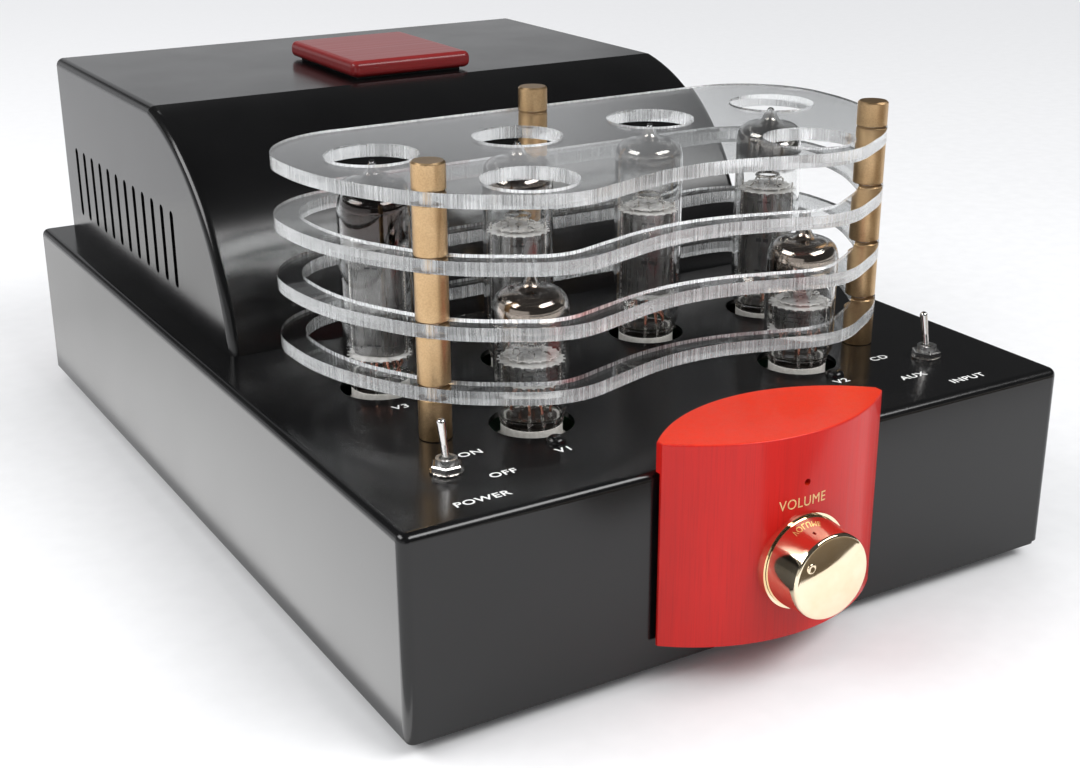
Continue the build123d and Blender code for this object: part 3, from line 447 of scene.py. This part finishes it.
node_looks = {
    "coat": ["chassis", "base_plate", "transformer_cover", "deck_screws"],
    "acrylic": ["guard_ring_1", "guard_ring_2", "guard_ring_3", "guard_top_plate"],
    "brass": ["post_spacers", "post_caps", "post_rods", "board_standoffs"],
    "gold": ["knob_ring", "input_jacks", "terminal_posts"],
    "chrome": ["switch_nuts", "switch_washers", "power_switch_lever", "input_switch_lever", "inlet_pins"],
    "steel": [
        "base_screws", "foot_screws", "cover_screws", "block_screws", "pot_nut", "volume_shaft",
        "volume_pot", "power_switch_body", "input_switch_body",
    ],
    "block_wood": ["front_block"],
    "badge_wood": ["badge_plate"],
    "black_plastic": [
        "block_spacer", "power_inlet", "fuse_drawer", "terminal_bases", "terminal_cap_1", "terminal_cap_3",
    ],
    "red_plastic": ["terminal_cap_2", "terminal_cap_4"],
    "eye": ["remote_eye"],
    "sleeve": ["capacitors"],
    "board": ["circuit_board"],
    "iron": ["mains_transformer", "output_transformers"],
    "ceramic": ["tube_sockets"],
    "rubber": ["feet", "badge_pad"],
}
for look, names in node_looks.items():
    for name in names:
        nodes[name].data.materials.clear()
        nodes[name].data.materials.append(looks[look])


# ------------------------------------------------------------------------ mesh helpers


def new_object(name, vertices, faces, material, smooth_angle=35.0, face_materials=None):
    """A mesh object from points and faces, smooth except at sharp edges."""
    mesh = bpy.data.meshes.new(name)
    mesh.from_pydata([tuple(v) for v in vertices], [], faces)
    for m in material if isinstance(material, (list, tuple)) else [material]:
        mesh.materials.append(m)
    mesh.validate()
    mesh.polygons.foreach_set("use_smooth", [True] * len(mesh.polygons))
    if face_materials:
        mesh.polygons.foreach_set("material_index", face_materials)
    mesh.set_sharp_from_angle(angle=math.radians(smooth_angle))
    obj = bpy.data.objects.new(name, mesh)
    bpy.context.scene.collection.objects.link(obj)
    return obj


def bezier(start, first, second, end, steps):
    """Points along a cubic curve, without its first point."""
    points = []
    for step in range(1, steps + 1):
        t = step / steps
        u = 1 - t
        weights = (u**3, 3 * u * u * t, 3 * u * t * t, t**3)
        points.append(
            tuple(sum(w * p[i] for w, p in zip(weights, (start, first, second, end))) for i in (0, 1))
        )
    return points


def lathe(profile, origin, segments=96, loop=False):
    """Vertices and faces of (radius, height) points in mm turned about +Z at an origin in metres.

    A profile starts and ends on the axis, or is a loop, so that the shape is closed."""
    vertices, rings = [], []
    for radius, height in profile:
        if radius < 1e-6:
            rings.append([len(vertices)])
            vertices.append(Vector((0, 0, height * MM)) + origin)
            continue
        rings.append(list(range(len(vertices), len(vertices) + segments)))
        for k in range(segments):
            angle = 2 * math.pi * k / segments
            spot = (radius * math.cos(angle) * MM, radius * math.sin(angle) * MM, height * MM)
            vertices.append(Vector(spot) + origin)
    faces = []
    for lower, upper in zip(rings, rings[1:] + (rings[:1] if loop else [])):
        for k in range(segments):
            after = (k + 1) % segments
            if len(lower) == 1 and len(upper) == 1:
                break
            if len(lower) == 1:
                faces.append((lower[0], upper[after], upper[k]))
            elif len(upper) == 1:
                faces.append((lower[k], lower[after], upper[0]))
            else:
                faces.append((lower[k], lower[after], upper[after], upper[k]))
    return vertices, faces


class Parts:
    """Vertices and faces gathered from several shapes, each with its material index."""

    def __init__(self):
        self.vertices, self.faces, self.materials = [], [], []

    def put(self, shape, material=0):
        vertices, faces = shape
        base = len(self.vertices)
        self.vertices += list(vertices)
        self.faces += [tuple(i + base for i in face) for face in faces]
        self.materials += [material] * len(faces)

    def build(self, name, materials, body, slot, smooth_angle=35.0):
        piece = new_object(name, self.vertices, self.faces, materials, smooth_angle, self.materials)
        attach(piece, body)
        return piece


def tube_path(points, radius, sides=10):
    """A round wire in mm along points in metres, with closed ends."""
    points = [Vector(p) for p in points]
    vertices, faces = [], []
    side = None
    for index, point in enumerate(points):
        before = points[max(index - 1, 0)]
        after = points[min(index + 1, len(points) - 1)]
        along = (after - before).normalized()
        if side is None:
            side = along.orthogonal().normalized()
        side = (side - along * side.dot(along)).normalized()
        other = along.cross(side)
        for k in range(sides):
            angle = 2 * math.pi * k / sides
            vertices.append(point + (side * math.cos(angle) + other * math.sin(angle)) * radius * MM)
    for ring in range(len(points) - 1):
        for k in range(sides):
            a, b = ring * sides + k, ring * sides + (k + 1) % sides
            faces.append((a, b, b + sides, a + sides))
    faces.append(tuple(reversed(range(sides))))
    last = (len(points) - 1) * sides
    faces.append(tuple(range(last, last + sides)))
    return vertices, faces


def prism(outline, low, high, origin):
    """A closed outline in mm, extruded between two heights in mm above an origin in metres."""
    count = len(outline)
    vertices = [Vector((x * MM, y * MM, z * MM)) + origin for z in (low, high) for x, y in outline]
    faces = [(k, (k + 1) % count, (k + 1) % count + count, k + count) for k in range(count)]
    faces.append(tuple(reversed(range(count))))
    faces.append(tuple(range(count, 2 * count)))
    return vertices, faces


# ------------------------------------------------------------------------ tubes


# in mm: glass wall, how far the getter film lies inside the outer face and its thickness, top of the glass
# foot, height of the lower mica, sections of the anode and its bands, radius of the pin circle, and the
# height above which a tube has a middle row of black patches of painted window shade on its anode
GLASS_WALL = 0.8
FILM_DEPTH = 0.95
FILM_THICKNESS = 0.04
FOOT_TOP = 2.4
LOW_MICA = 10.6
ANODE_SECTION = (15.6, 10.4)
BAND_SECTION = (16.1, 10.9)
PIN_CIRCLE = 5.95
TALL_TUBE = 60


def envelope_outline(height):
    """Outside of a tube's glass from the middle of its foot to its drawn tip, in mm."""
    h = height
    points = [(0, 0.0), (4.0, 0.0), (8.3, 0.0)]
    points += bezier((8.3, 0.0), (9.0, 0.0), (9.3, 0.3), (9.35, 1.2), 6)
    points += bezier((9.35, 1.2), (9.6, 3.6), (10.95, 4.2), (10.98, 7.0), 10)
    points += [(10.98, 7.0 + (h - 21.8) * step / 24) for step in range(1, 25)]
    points += bezier((10.98, h - 14.8), (10.98, h - 10.9), (9.7, h - 8.6), (5.4, h - 8.1), 16)
    points += bezier((5.4, h - 8.1), (3.4, h - 7.9), (2.6, h - 7.2), (2.1, h - 5.4), 8)
    points += bezier((2.1, h - 5.4), (1.6, h - 3.6), (1.5, h - 1.8), (1.15, h - 0.9), 6)
    points += bezier((1.15, h - 0.9), (0.95, h - 0.35), (0.6, h - 0.05), (0.0, h - 0.02), 5)
    return points


def drawn_in(outline, inset, floor):
    """An outline moved in by an inset, standing on a thicker foot."""
    points = [(0, floor), (9.3 - inset - 1.6, floor)]
    for before, (r, z), after in zip(outline[8:], outline[9:], outline[10:]):
        along = Vector((after[0] - before[0], after[1] - before[1])).normalized()
        spot = (r - along.y * inset, z + along.x * inset)
        if spot[0] > 0.3 and spot[1] > floor + 0.8 and spot[1] > points[-1][1]:
            points.append(spot)
    return points + [(0, points[-1][1] + 0.2)]


def jagged_disc(radius, tooth, teeth):
    """A round outline in mm with small teeth that bear on the glass."""
    points = []
    for step in range(teeth):
        for share, reach in ((0.0, 0.0), (0.3, 0.0), (0.42, tooth), (0.58, tooth), (0.7, 0.0)):
            angle = 2 * math.pi * (step + share) / teeth
            points.append(((radius + reach) * math.cos(angle), (radius + reach) * math.sin(angle)))
    return points


def turned(points, angle):
    """An outline turned about its origin."""
    c, s = math.cos(angle), math.sin(angle)
    return [(x * c - y * s, x * s + y * c) for x, y in points]


def wall(outline, thickness, low, high, origin):
    """A hollow upright sleeve along a closed outline."""
    inner = []
    for index, (x, y) in enumerate(outline):
        after = outline[(index + 1) % len(outline)]
        before = outline[index - 1]
        along = Vector((after[0] - before[0], after[1] - before[1])).normalized()
        inner.append((x - along.y * thickness, y + along.x * thickness))
    count = len(outline)
    vertices = [
        Vector((x * MM, y * MM, z * MM)) + origin
        for ring, z in ((outline, low), (outline, high), (inner, high), (inner, low))
        for x, y in ring
    ]
    faces = []
    for band in range(4):
        base, above = band * count, (band + 1) % 4 * count
        faces += [
            (base + k, base + (k + 1) % count, above + (k + 1) % count, above + k) for k in range(count)
        ]
    return vertices, faces


def stadium(width, depth, steps=10):
    """A slot-shaped outline in mm."""
    r = depth / 2
    half = width / 2 - r
    points = []
    for centre, start in ((half, -90), (-half, 90)):
        for step in range(steps + 1):
            angle = math.radians(start + 180 * step / steps)
            points.append((centre + r * math.cos(angle), r * math.sin(angle)))
    return points


def ring_wire(radius, wire, height, origin, segments=48, sides=10):
    """A closed loop of wire lying flat."""
    vertices, faces = [], []
    for k in range(segments):
        a = 2 * math.pi * k / segments
        for j in range(sides):
            b = 2 * math.pi * j / sides
            r = radius + wire * math.cos(b)
            spot = (r * math.cos(a) * MM, r * math.sin(a) * MM, (height + wire * math.sin(b)) * MM)
            vertices.append(Vector(spot) + origin)
    for k in range(segments):
        for j in range(sides):
            a, b = k * sides, (k + 1) % segments * sides
            faces.append((a + j, b + j, b + (j + 1) % sides, a + (j + 1) % sides))
    return vertices, faces


# upper mica height, lower edge of the getter mirror, its metal, and how far the electrodes are turned
flash_margin = (0.012, 0.006, 0.004)
brown_flash = (0.026, 0.012, 0.008)
grey_flash = (0.26, 0.22, 0.19)
pale_flash = (0.52, 0.48, 0.44)
silver_flash = (0.50, 0.41, 0.34)
tube_styles = {
    "tube_1": (42.5, 46.5, brown_flash, -42),
    "tube_2": (42.0, 52.0, grey_flash, -30),
    "tube_3": (42.0, 53.5, pale_flash, -33),
    "tube_4": (42.5, 51.0, pale_flash, -48),
    "tube_5": (19.5, 28.5, silver_flash, -20),
    "tube_6": (19.5, 28.0, silver_flash, -55),
}


def build_tube(name, upper_mica, flash_edge, flash_colour, turn):
    """One tube: envelope, getter mirror, anode with black patches of painted window shade, mica discs,
    supports, leads and pins.
    """
    low, high = glass_boxes[name]
    origin = Vector(((low.x + high.x) / 2, (low.y + high.y) / 2, low.z))
    height = (high.z - low.z) / MM
    outline = envelope_outline(height)
    inner = drawn_in(outline, GLASS_WALL, FOOT_TOP)

    glass = Parts()
    glass.put(lathe(outline, origin, 112))
    glass.put(lathe(inner[::-1], origin, 112))
    envelope = glass.build(f"{name}_envelope", looks["glass"], name, f"{name}_glass")
    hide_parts(f"{name}_glass")

    film_line = [
        p for p in drawn_in(outline, FILM_DEPTH, FOOT_TOP) if flash_edge - 4.0 < p[1] < height - 3.0
    ]
    film = Parts()
    film_inside = [(r - FILM_THICKNESS, z - FILM_THICKNESS) for r, z in reversed(film_line)]
    film.put(lathe(film_line + film_inside, origin, 96, loop=True))
    low_edge = origin.z + (flash_edge - 1.4) * MM
    film_look = getter_film(f"{name}_flash", flash_margin, flash_colour, low_edge, low_edge + 2.8 * MM)
    film.build(f"{name}_getter_mirror", film_look, name, f"{name}_glass")

    angle = math.radians(turn)
    rnd = random.Random(name)

    mica = Parts()
    for level, teeth, radius in (
        (LOW_MICA, 22, 9.15), (upper_mica, 22, 9.15), (upper_mica + 1.1, 16, 7.2),
    ):
        disc = jagged_disc(radius, 0.75, teeth)
        mica.put(prism(turned(disc, angle + rnd.random()), level, level + 0.28, origin))
    mica.build(f"{name}_micas", looks["mica"], name, f"{name}_electrodes", 25)

    anode = Parts()
    body = turned(stadium(*ANODE_SECTION), angle)
    anode.put(wall(body, 0.35, LOW_MICA + 0.5, upper_mica - 0.2, origin))
    for band in (LOW_MICA + 3.0, (LOW_MICA + upper_mica) / 2, upper_mica - 3.0):
        anode.put(wall(turned(stadium(*BAND_SECTION), angle), 0.3, band - 0.5, band + 0.5, origin))
    for side in (-1, 1):
        fin = [(side * 7.7, -0.25), (side * 9.0, -0.25), (side * 9.0, 0.25), (side * 7.7, 0.25)]
        if side < 0:
            fin = fin[::-1]
        anode.put(prism(turned(fin, angle), LOW_MICA + 1.2, upper_mica - 1.0, origin))
    plate = anode.build(f"{name}_anode", looks["anode"], name, f"{name}_electrodes", 40)
    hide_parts(f"{name}_electrodes")

    # the anode has no holes: black patches on its flat faces are painted shade standing for the dark seen
    # through windows.
    marks = Parts()
    window_shade_heights = [LOW_MICA + 3.4, (LOW_MICA + upper_mica) / 2 - 1.0, upper_mica - 3.4]
    if height <= TALL_TUBE:
        del window_shade_heights[1]
    for z in window_shade_heights:
        for side in (-1, 1):
            for x in (-1.2, 1.2):
                dot = [
                    (x - 0.9, side * 5.21), (x + 0.9, side * 5.21),
                    (x + 0.9, side * 5.27), (x - 0.9, side * 5.27),
                ]
                marks.put(prism(turned(dot if side > 0 else dot[::-1], angle), z - 0.8, z + 0.8, origin))
    marks.build(f"{name}_anode_window_shade", looks["black_plastic"], name, f"{name}_electrodes", 30)

    supports = Parts()
    for x in (-8.5, 8.5, -3.2, 3.2):
        x_turned, y_turned = turned([(x, 0.0)], angle)[0]
        foot = origin + Vector((x_turned, y_turned, LOW_MICA - 2.2)) * MM
        top = origin + Vector((x_turned, y_turned, upper_mica + 2.4)) * MM
        supports.put(tube_path([foot, top], 0.32, 10))
    stalk_x, stalk_y = turned([(3.4, 1.2)], angle)[0]
    foot = origin + Vector((stalk_x, stalk_y, upper_mica)) * MM
    middle_spot = origin + Vector((stalk_x * 0.9, stalk_y * 0.9, upper_mica + 2.4)) * MM
    top = origin + Vector((stalk_x, stalk_y, upper_mica + 4.4)) * MM
    supports.put(tube_path([foot, middle_spot, top], 0.28, 10))
    supports.put(ring_wire(3.7, 0.5, upper_mica + 4.6, origin))
    for step in range(8):
        x, y = turned([(5.2 + 1.4 * (step % 2), 0.0)], angle + step * math.pi / 4)[0]
        rise = 1.2 + 2.0 * rnd.random()
        hook = [(1.0, 0.0), (1.0, rise), (0.86, rise + 0.5), (0.66, rise + 0.3)]
        supports.put(tube_path(
            [origin + Vector((x * share, y * share, upper_mica - 0.4 + lift)) * MM for share, lift in hook],
            0.3, 8,
        ))
    cathode_foot, cathode_top = LOW_MICA - 1.6, upper_mica + 1.8
    cathode = [(0, cathode_foot), (0.9, cathode_foot), (0.9, cathode_top), (0, cathode_top)]
    supports.put(lathe(cathode, origin, 24))
    supports.build(f"{name}_supports", looks["nickel"], name, f"{name}_electrodes")

    leads, pins = Parts(), Parts()
    for step in range(9):
        spoke = math.radians(36.0 * step - 126.0)
        x, y = PIN_CIRCLE * math.cos(spoke), PIN_CIRCLE * math.sin(spoke)
        pin = [(0, -7.0), (0.3, -6.9), (0.5, -6.3), (0.5, 3.9), (0, 4.1)]
        pins.put(lathe(pin, origin + Vector((x, y, 0)) * MM, 16))
        reach_in = 0.45 + 0.5 * rnd.random()
        path = [
            origin + Vector((x, y, 4.0)) * MM,
            origin + Vector((x * 0.98, y * 0.98, 5.4)) * MM,
            origin + Vector((x * (reach_in + 0.25), y * (reach_in + 0.25), 7.0)) * MM,
            origin + Vector((x * reach_in, y * reach_in, LOW_MICA)) * MM,
        ]
        leads.put(tube_path(path, 0.4, 10))
    leads.build(f"{name}_leads", looks["copper"], name, f"{name}_electrodes")
    pins.build(f"{name}_pins", looks["nickel"], name, f"{name}_electrodes")


for tube_name, style in tube_styles.items():
    build_tube(tube_name, *style)


# ------------------------------------------------------------------------ printed labels


def label(name, words, size, stretch, weight, material, place):
    """Printed words, thin, laid on a surface: place turns a flat point in metres into its spot."""
    curve = bpy.data.curves.new(name, "FONT")
    curve.body = words
    curve.size = size
    curve.extrude = 0.02 * MM
    curve.offset = weight
    curve.space_character = 1.08
    curve.align_x = "CENTER"
    curve.align_y = "CENTER"
    curve.resolution_u = 5
    holder = bpy.data.objects.new(name + "_curve", curve)
    bpy.context.scene.collection.objects.link(holder)
    bpy.context.view_layer.update()
    mesh = bpy.data.meshes.new_from_object(holder.evaluated_get(bpy.context.evaluated_depsgraph_get()))
    bpy.data.objects.remove(holder)
    for vertex in mesh.vertices:
        vertex.co = place(vertex.co.x * stretch, vertex.co.y, vertex.co.z)
    mesh.materials.clear()
    mesh.materials.append(material)
    piece = bpy.data.objects.new(name, mesh)
    bpy.context.scene.collection.objects.link(piece)
    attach(piece, "amplifier")


def on_deck(x, y):
    """Places a flat point round a spot on the deck, in mm."""
    return lambda u, v, w: Vector((x * MM + u, y * MM + v, deck + 0.03 * MM + w))


block_low, block_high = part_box("front_block")
block_half = block_high.x
block_ends = -169.8 * MM
block_bow = block_ends - block_low.y
block_radius = (block_half**2 + block_bow**2) / (2 * block_bow)


def on_block(x, z):
    """Places a flat point round a spot on the bowed front of the block, in mm."""

    def spot(u, v, w):
        across = x * MM + u
        bowed = block_low.y + block_radius - math.sqrt(block_radius**2 - across**2)
        return Vector((across, bowed - 0.03 * MM - w, z * MM + v))

    return spot


deck_words = [
    ("label_on", "ON", -75.2, -130.5), ("label_off", "OFF", -74.0, -146.8),
    ("label_power", "POWER", -86.7, -158.2), ("label_v1", "V1", -51.5, -141.6),
    ("label_v2", "V2", 49.3, -140.6), ("label_v3", "V3", -76.2, -89.3),
    ("label_cd", "CD", 73.0, -131.0), ("label_aux", "AUX", 71.0, -148.8),
    ("label_input", "INPUT", 84.2, -158.8),
]
for piece_name, words, x, y in deck_words:
    label(piece_name, words, 4.0 * MM, 1.14, 0.05 * MM, looks["white_ink"], on_deck(x, y))
label(
    "label_volume", "VOLUME", 4.25 * MM, 0.92, 0.0, looks["gold_ink"],
    on_block(-1.0, 54.2),
)


# ------------------------------------------------------------------------ volume knob

knob_low, knob_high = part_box("volume_knob")
ring_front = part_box("knob_ring")[0].y
# in mm and degrees: radius of the face's dome, flat radius inside the soft rim, radius at the rim, level of
# the hollow behind, and where the dimple is on the face, clockwise from the top
DOME, FACE_RADIUS, RIM_RADIUS, KNOB_HOLLOW = 75.0, 11.9, 12.7, 4.2
DIMPLE_REACH, DIMPLE_TURN = 9.1, -58


def build_knob():
    """The polished knob: a slightly domed face, a soft rim, a near-straight side and a dimple."""
    face_y = knob_low.y / MM
    base_radius = knob_high.x / MM
    base_y = ring_front / MM - 0.2
    profile = [(0.0, 0.0)]
    for step in range(1, 25):
        r = FACE_RADIUS * step / 24
        profile.append((r, DOME - math.sqrt(DOME**2 - r**2)))
    sag = profile[-1][1]
    profile += bezier(
        (FACE_RADIUS, sag), (12.35, sag + 0.12), (12.62, sag + 0.3), (RIM_RADIUS, sag + 0.9), 8
    )
    length = base_y - face_y
    profile += [
        (RIM_RADIUS + (base_radius - RIM_RADIUS) * k / 6, sag + 0.9 + (length - sag - 0.9) * k / 6)
        for k in range(1, 7)
    ]
    profile += [(base_radius - 2.0, length), (base_radius - 2.6, KNOB_HOLLOW), (0.0, KNOB_HOLLOW)]
    vertices, faces = lathe(profile, Vector((0, 0, 0)), 192)
    centre = middle("volume_knob")
    spots = [Vector((v.x, knob_low.y + v.z, centre.z + v.y)) for v in vertices]
    faces = [face[::-1] for face in faces]
    dimple_angle = math.radians(DIMPLE_TURN)
    dimple = Vector((
        DIMPLE_REACH * MM * math.sin(dimple_angle),
        knob_low.y + (DOME - math.sqrt(DOME**2 - DIMPLE_REACH**2)) * MM,
        DIMPLE_REACH * MM * math.cos(dimple_angle) + centre.z,
    ))
    knob = new_object("polished_knob", spots, faces, looks["gold"], 30)
    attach(knob, "volume")
    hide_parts("volume_knob")
    cup = [(0.0, 0.03), (0.35, 0.05), (0.7, 0.0), (0.95, -0.12), (1.15, -0.16), (1.35, -0.1), (1.5, 0.02)]
    cup += [(1.5, 0.25), (0.0, 0.25)]
    vertices, faces = lathe(cup, Vector((0, 0, 0)), 40)
    cup_spots = [Vector((dimple.x + v.x, dimple.y + v.z, dimple.z + v.y)) for v in vertices]
    faces = [face[::-1] for face in faces]
    mark = new_object("knob_dimple", cup_spots, faces, looks["gold"], 60)
    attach(mark, "volume")


build_knob()


# ------------------------------------------------------------------------ studio

camera_data = bpy.data.cameras.new("camera")
camera_data.lens = 53.65
camera_data.sensor_width = 36.0
camera = bpy.data.objects.new("camera", camera_data)
bpy.context.scene.collection.objects.link(camera)
camera_spot = (-0.26713, -0.49085, 0.24199)
turn_z, dip, roll = math.radians(-30.747), math.radians(20.939), math.radians(-0.227)
camera.matrix_world = (
    Matrix.Translation(camera_spot)
    @ Matrix.Rotation(turn_z, 4, "Z")
    @ Matrix.Rotation(math.radians(90) - dip, 4, "X")
    @ Matrix.Rotation(roll, 4, "Z")
)
camera_data.clip_start = 0.01
camera_data.clip_end = 50.0
bpy.context.scene.camera = camera


def studio_world():
    """Even white fill for matt surfaces, while glossy and clear ones show a dim room with pale screens."""
    world = bpy.data.worlds.new("studio")
    world.use_nodes = True
    tree = world.node_tree

    def node(kind, values, **settings):
        made = tree.nodes.new("ShaderNode" + kind)
        for key, value in settings.items():
            setattr(made, key, value)
        for key, value in values.items():
            if isinstance(value, bpy.types.NodeSocket):
                tree.links.new(value, made.inputs[key])
            else:
                made.inputs[key].default_value = value
        return made

    def step(value, low, high, to_low, to_high):
        return node(
            "MapRange", {0: value, 1: low, 2: high, 3: to_low, 4: to_high}, interpolation_type="SMOOTHSTEP"
        ).outputs[0]

    direction = node("TexCoord", {}).outputs["Generated"]
    height = node("SeparateXYZ", {"Vector": direction}).outputs["Z"]
    patch_way = Vector((0.16, 0.91, 0.39)).normalized()
    patch = node("VectorMath", {0: direction, 1: patch_way}, operation="DOT_PRODUCT").outputs["Value"]
    left_way = Vector((0.81, -0.58, 0.0))
    leftness = node("VectorMath", {0: direction, 1: left_way}, operation="DOT_PRODUCT").outputs["Value"]
    band = node(
        "Math", {0: step(height, 0.2, 0.3, 0.62, 0.0), 1: step(leftness, -0.1, 0.08, 1.0, 0.1)},
        operation="MULTIPLY",
    ).outputs[0]
    screens = node(
        "Math", {0: band, 1: step(patch, 0.965, 0.99, 0.06, 0.45)}, operation="MAXIMUM"
    ).outputs[0]
    path = node("LightPath", {})
    glossy, refracted = path.outputs["Is Glossy Ray"], path.outputs["Is Transmission Ray"]
    mirrored = node("Math", {0: glossy, 1: refracted}, operation="MAXIMUM").outputs[0]
    strength = node("Mix", {"Factor": mirrored, "A": 0.78, "B": screens})
    background = tree.nodes["Background"]
    background.inputs["Color"].default_value = (0.97, 0.98, 1.0, 1)
    tree.links.new(strength.outputs["Result"], background.inputs["Strength"])
    return world


bpy.context.scene.world = studio_world()


def paper():
    """Seamless studio paper, almost white, with painted shade: a little greyer round the spot where the
    lights overlap.
    """
    s = Shader("studio_paper")
    grain = s.noise(120, detail=3.0)
    lit_spot = (0.45, 0.0, 0.0)
    distance = s.add("VectorMath", {0: s.place(), 1: lit_spot}, operation="DISTANCE").outputs["Value"]
    far = s.spread(distance, 0.2, 1.7)
    # painted shade: the paper is greyer near lit_spot, where the lights overlap, and whiter further away.
    near_shade = s.ramp(grain, (0.3, (0.72, 0.72, 0.725)), (0.7, (0.75, 0.75, 0.755)))
    s.set(
        Base_Color=s.mix(far, near_shade, (0.96, 0.96, 0.965)),
        Roughness=0.85,
        Specular_IOR_Level=0.1,
    )
    return s.material


reach = 6.0
floor_corners = [(-reach, -reach, 0), (reach, -reach, 0), (reach, reach, 0), (-reach, reach, 0)]
floor = new_object("studio_floor", floor_corners, [(0, 1, 2, 3)], paper())


def glossy_card(name, colour, corners, front_y, back_y, front, back):
    """A card on the floor that only shows in reflections; its brightness runs from front to back."""
    s = Shader(name)
    along = s.add("SeparateXYZ", {"Vector": s.place()}).outputs["Y"]
    strength = s.spread(along, front_y, back_y, front, back)
    glow = s.add("Emission", {"Color": (*colour, 1), "Strength": strength})
    s.tree.links.new(glow.outputs[0], s.output.inputs["Surface"])
    outline = tuple(range(len(corners)))
    card = new_object(name, [(*corner, 0.001) for corner in corners], [outline], s.material)
    card.visible_camera = False
    card.visible_diffuse = False
    card.visible_transmission = False
    card.visible_shadow = False


glossy_card(
    "left_card", (1, 1, 1),
    [(-0.122, -0.20), (-0.122, 0.42), (-0.30, 0.42), (-0.24, 0.10), (-0.175, -0.09)],
    -0.15, 0.25, 2.7, 1.3,
)
glossy_card(
    "dark_card", (1.0, 0.84, 0.66),
    [(0.16, -1.3), (1.0, -1.3), (0.7, -0.31), (0.097, -0.283), (0.005, -0.264)],
    -0.8, -0.29, 0.55, 0.13,
)


def softbox(name, azimuth, elevation, distance, size, brightness):
    """A rectangular soft light of an even brightness, aimed at the object from a direction in degrees.

    Azimuth 0 is straight behind the object and 90 is on its right."""
    a, e = math.radians(azimuth), math.radians(elevation)
    heart = Vector((0.0, -0.03, 0.08))
    away = Vector((math.sin(a) * math.cos(e), math.cos(a) * math.cos(e), math.sin(e)))
    data = bpy.data.lights.new(name, "AREA")
    data.shape = "RECTANGLE"
    data.size, data.size_y = size
    data.energy = math.pi * size[0] * size[1] * brightness
    lamp = bpy.data.objects.new(name, data)
    bpy.context.scene.collection.objects.link(lamp)
    lamp.location = heart + away * distance
    lamp.rotation_euler = (-away).to_track_quat("-Z", "Y").to_euler()
    lamp.visible_camera = False


softbox("right_softbox", 151, 44, 1.4, (1.05, 0.5), 8.5)
softbox("left_softbox", -78, 40, 1.4, (1.0, 0.6), 6.0)

scene = bpy.context.scene
scene.view_settings.view_transform = "Standard"
scene.view_settings.look = "None"
scene.view_settings.exposure = 0.0
scene.cycles.max_bounces = 24
scene.cycles.transmission_bounces = 20
scene.cycles.transparent_max_bounces = 32
scene.cycles.glossy_bounces = 8
scene.cycles.diffuse_bounces = 4
scene.cycles.caustics_reflective = False
scene.cycles.caustics_refractive = False
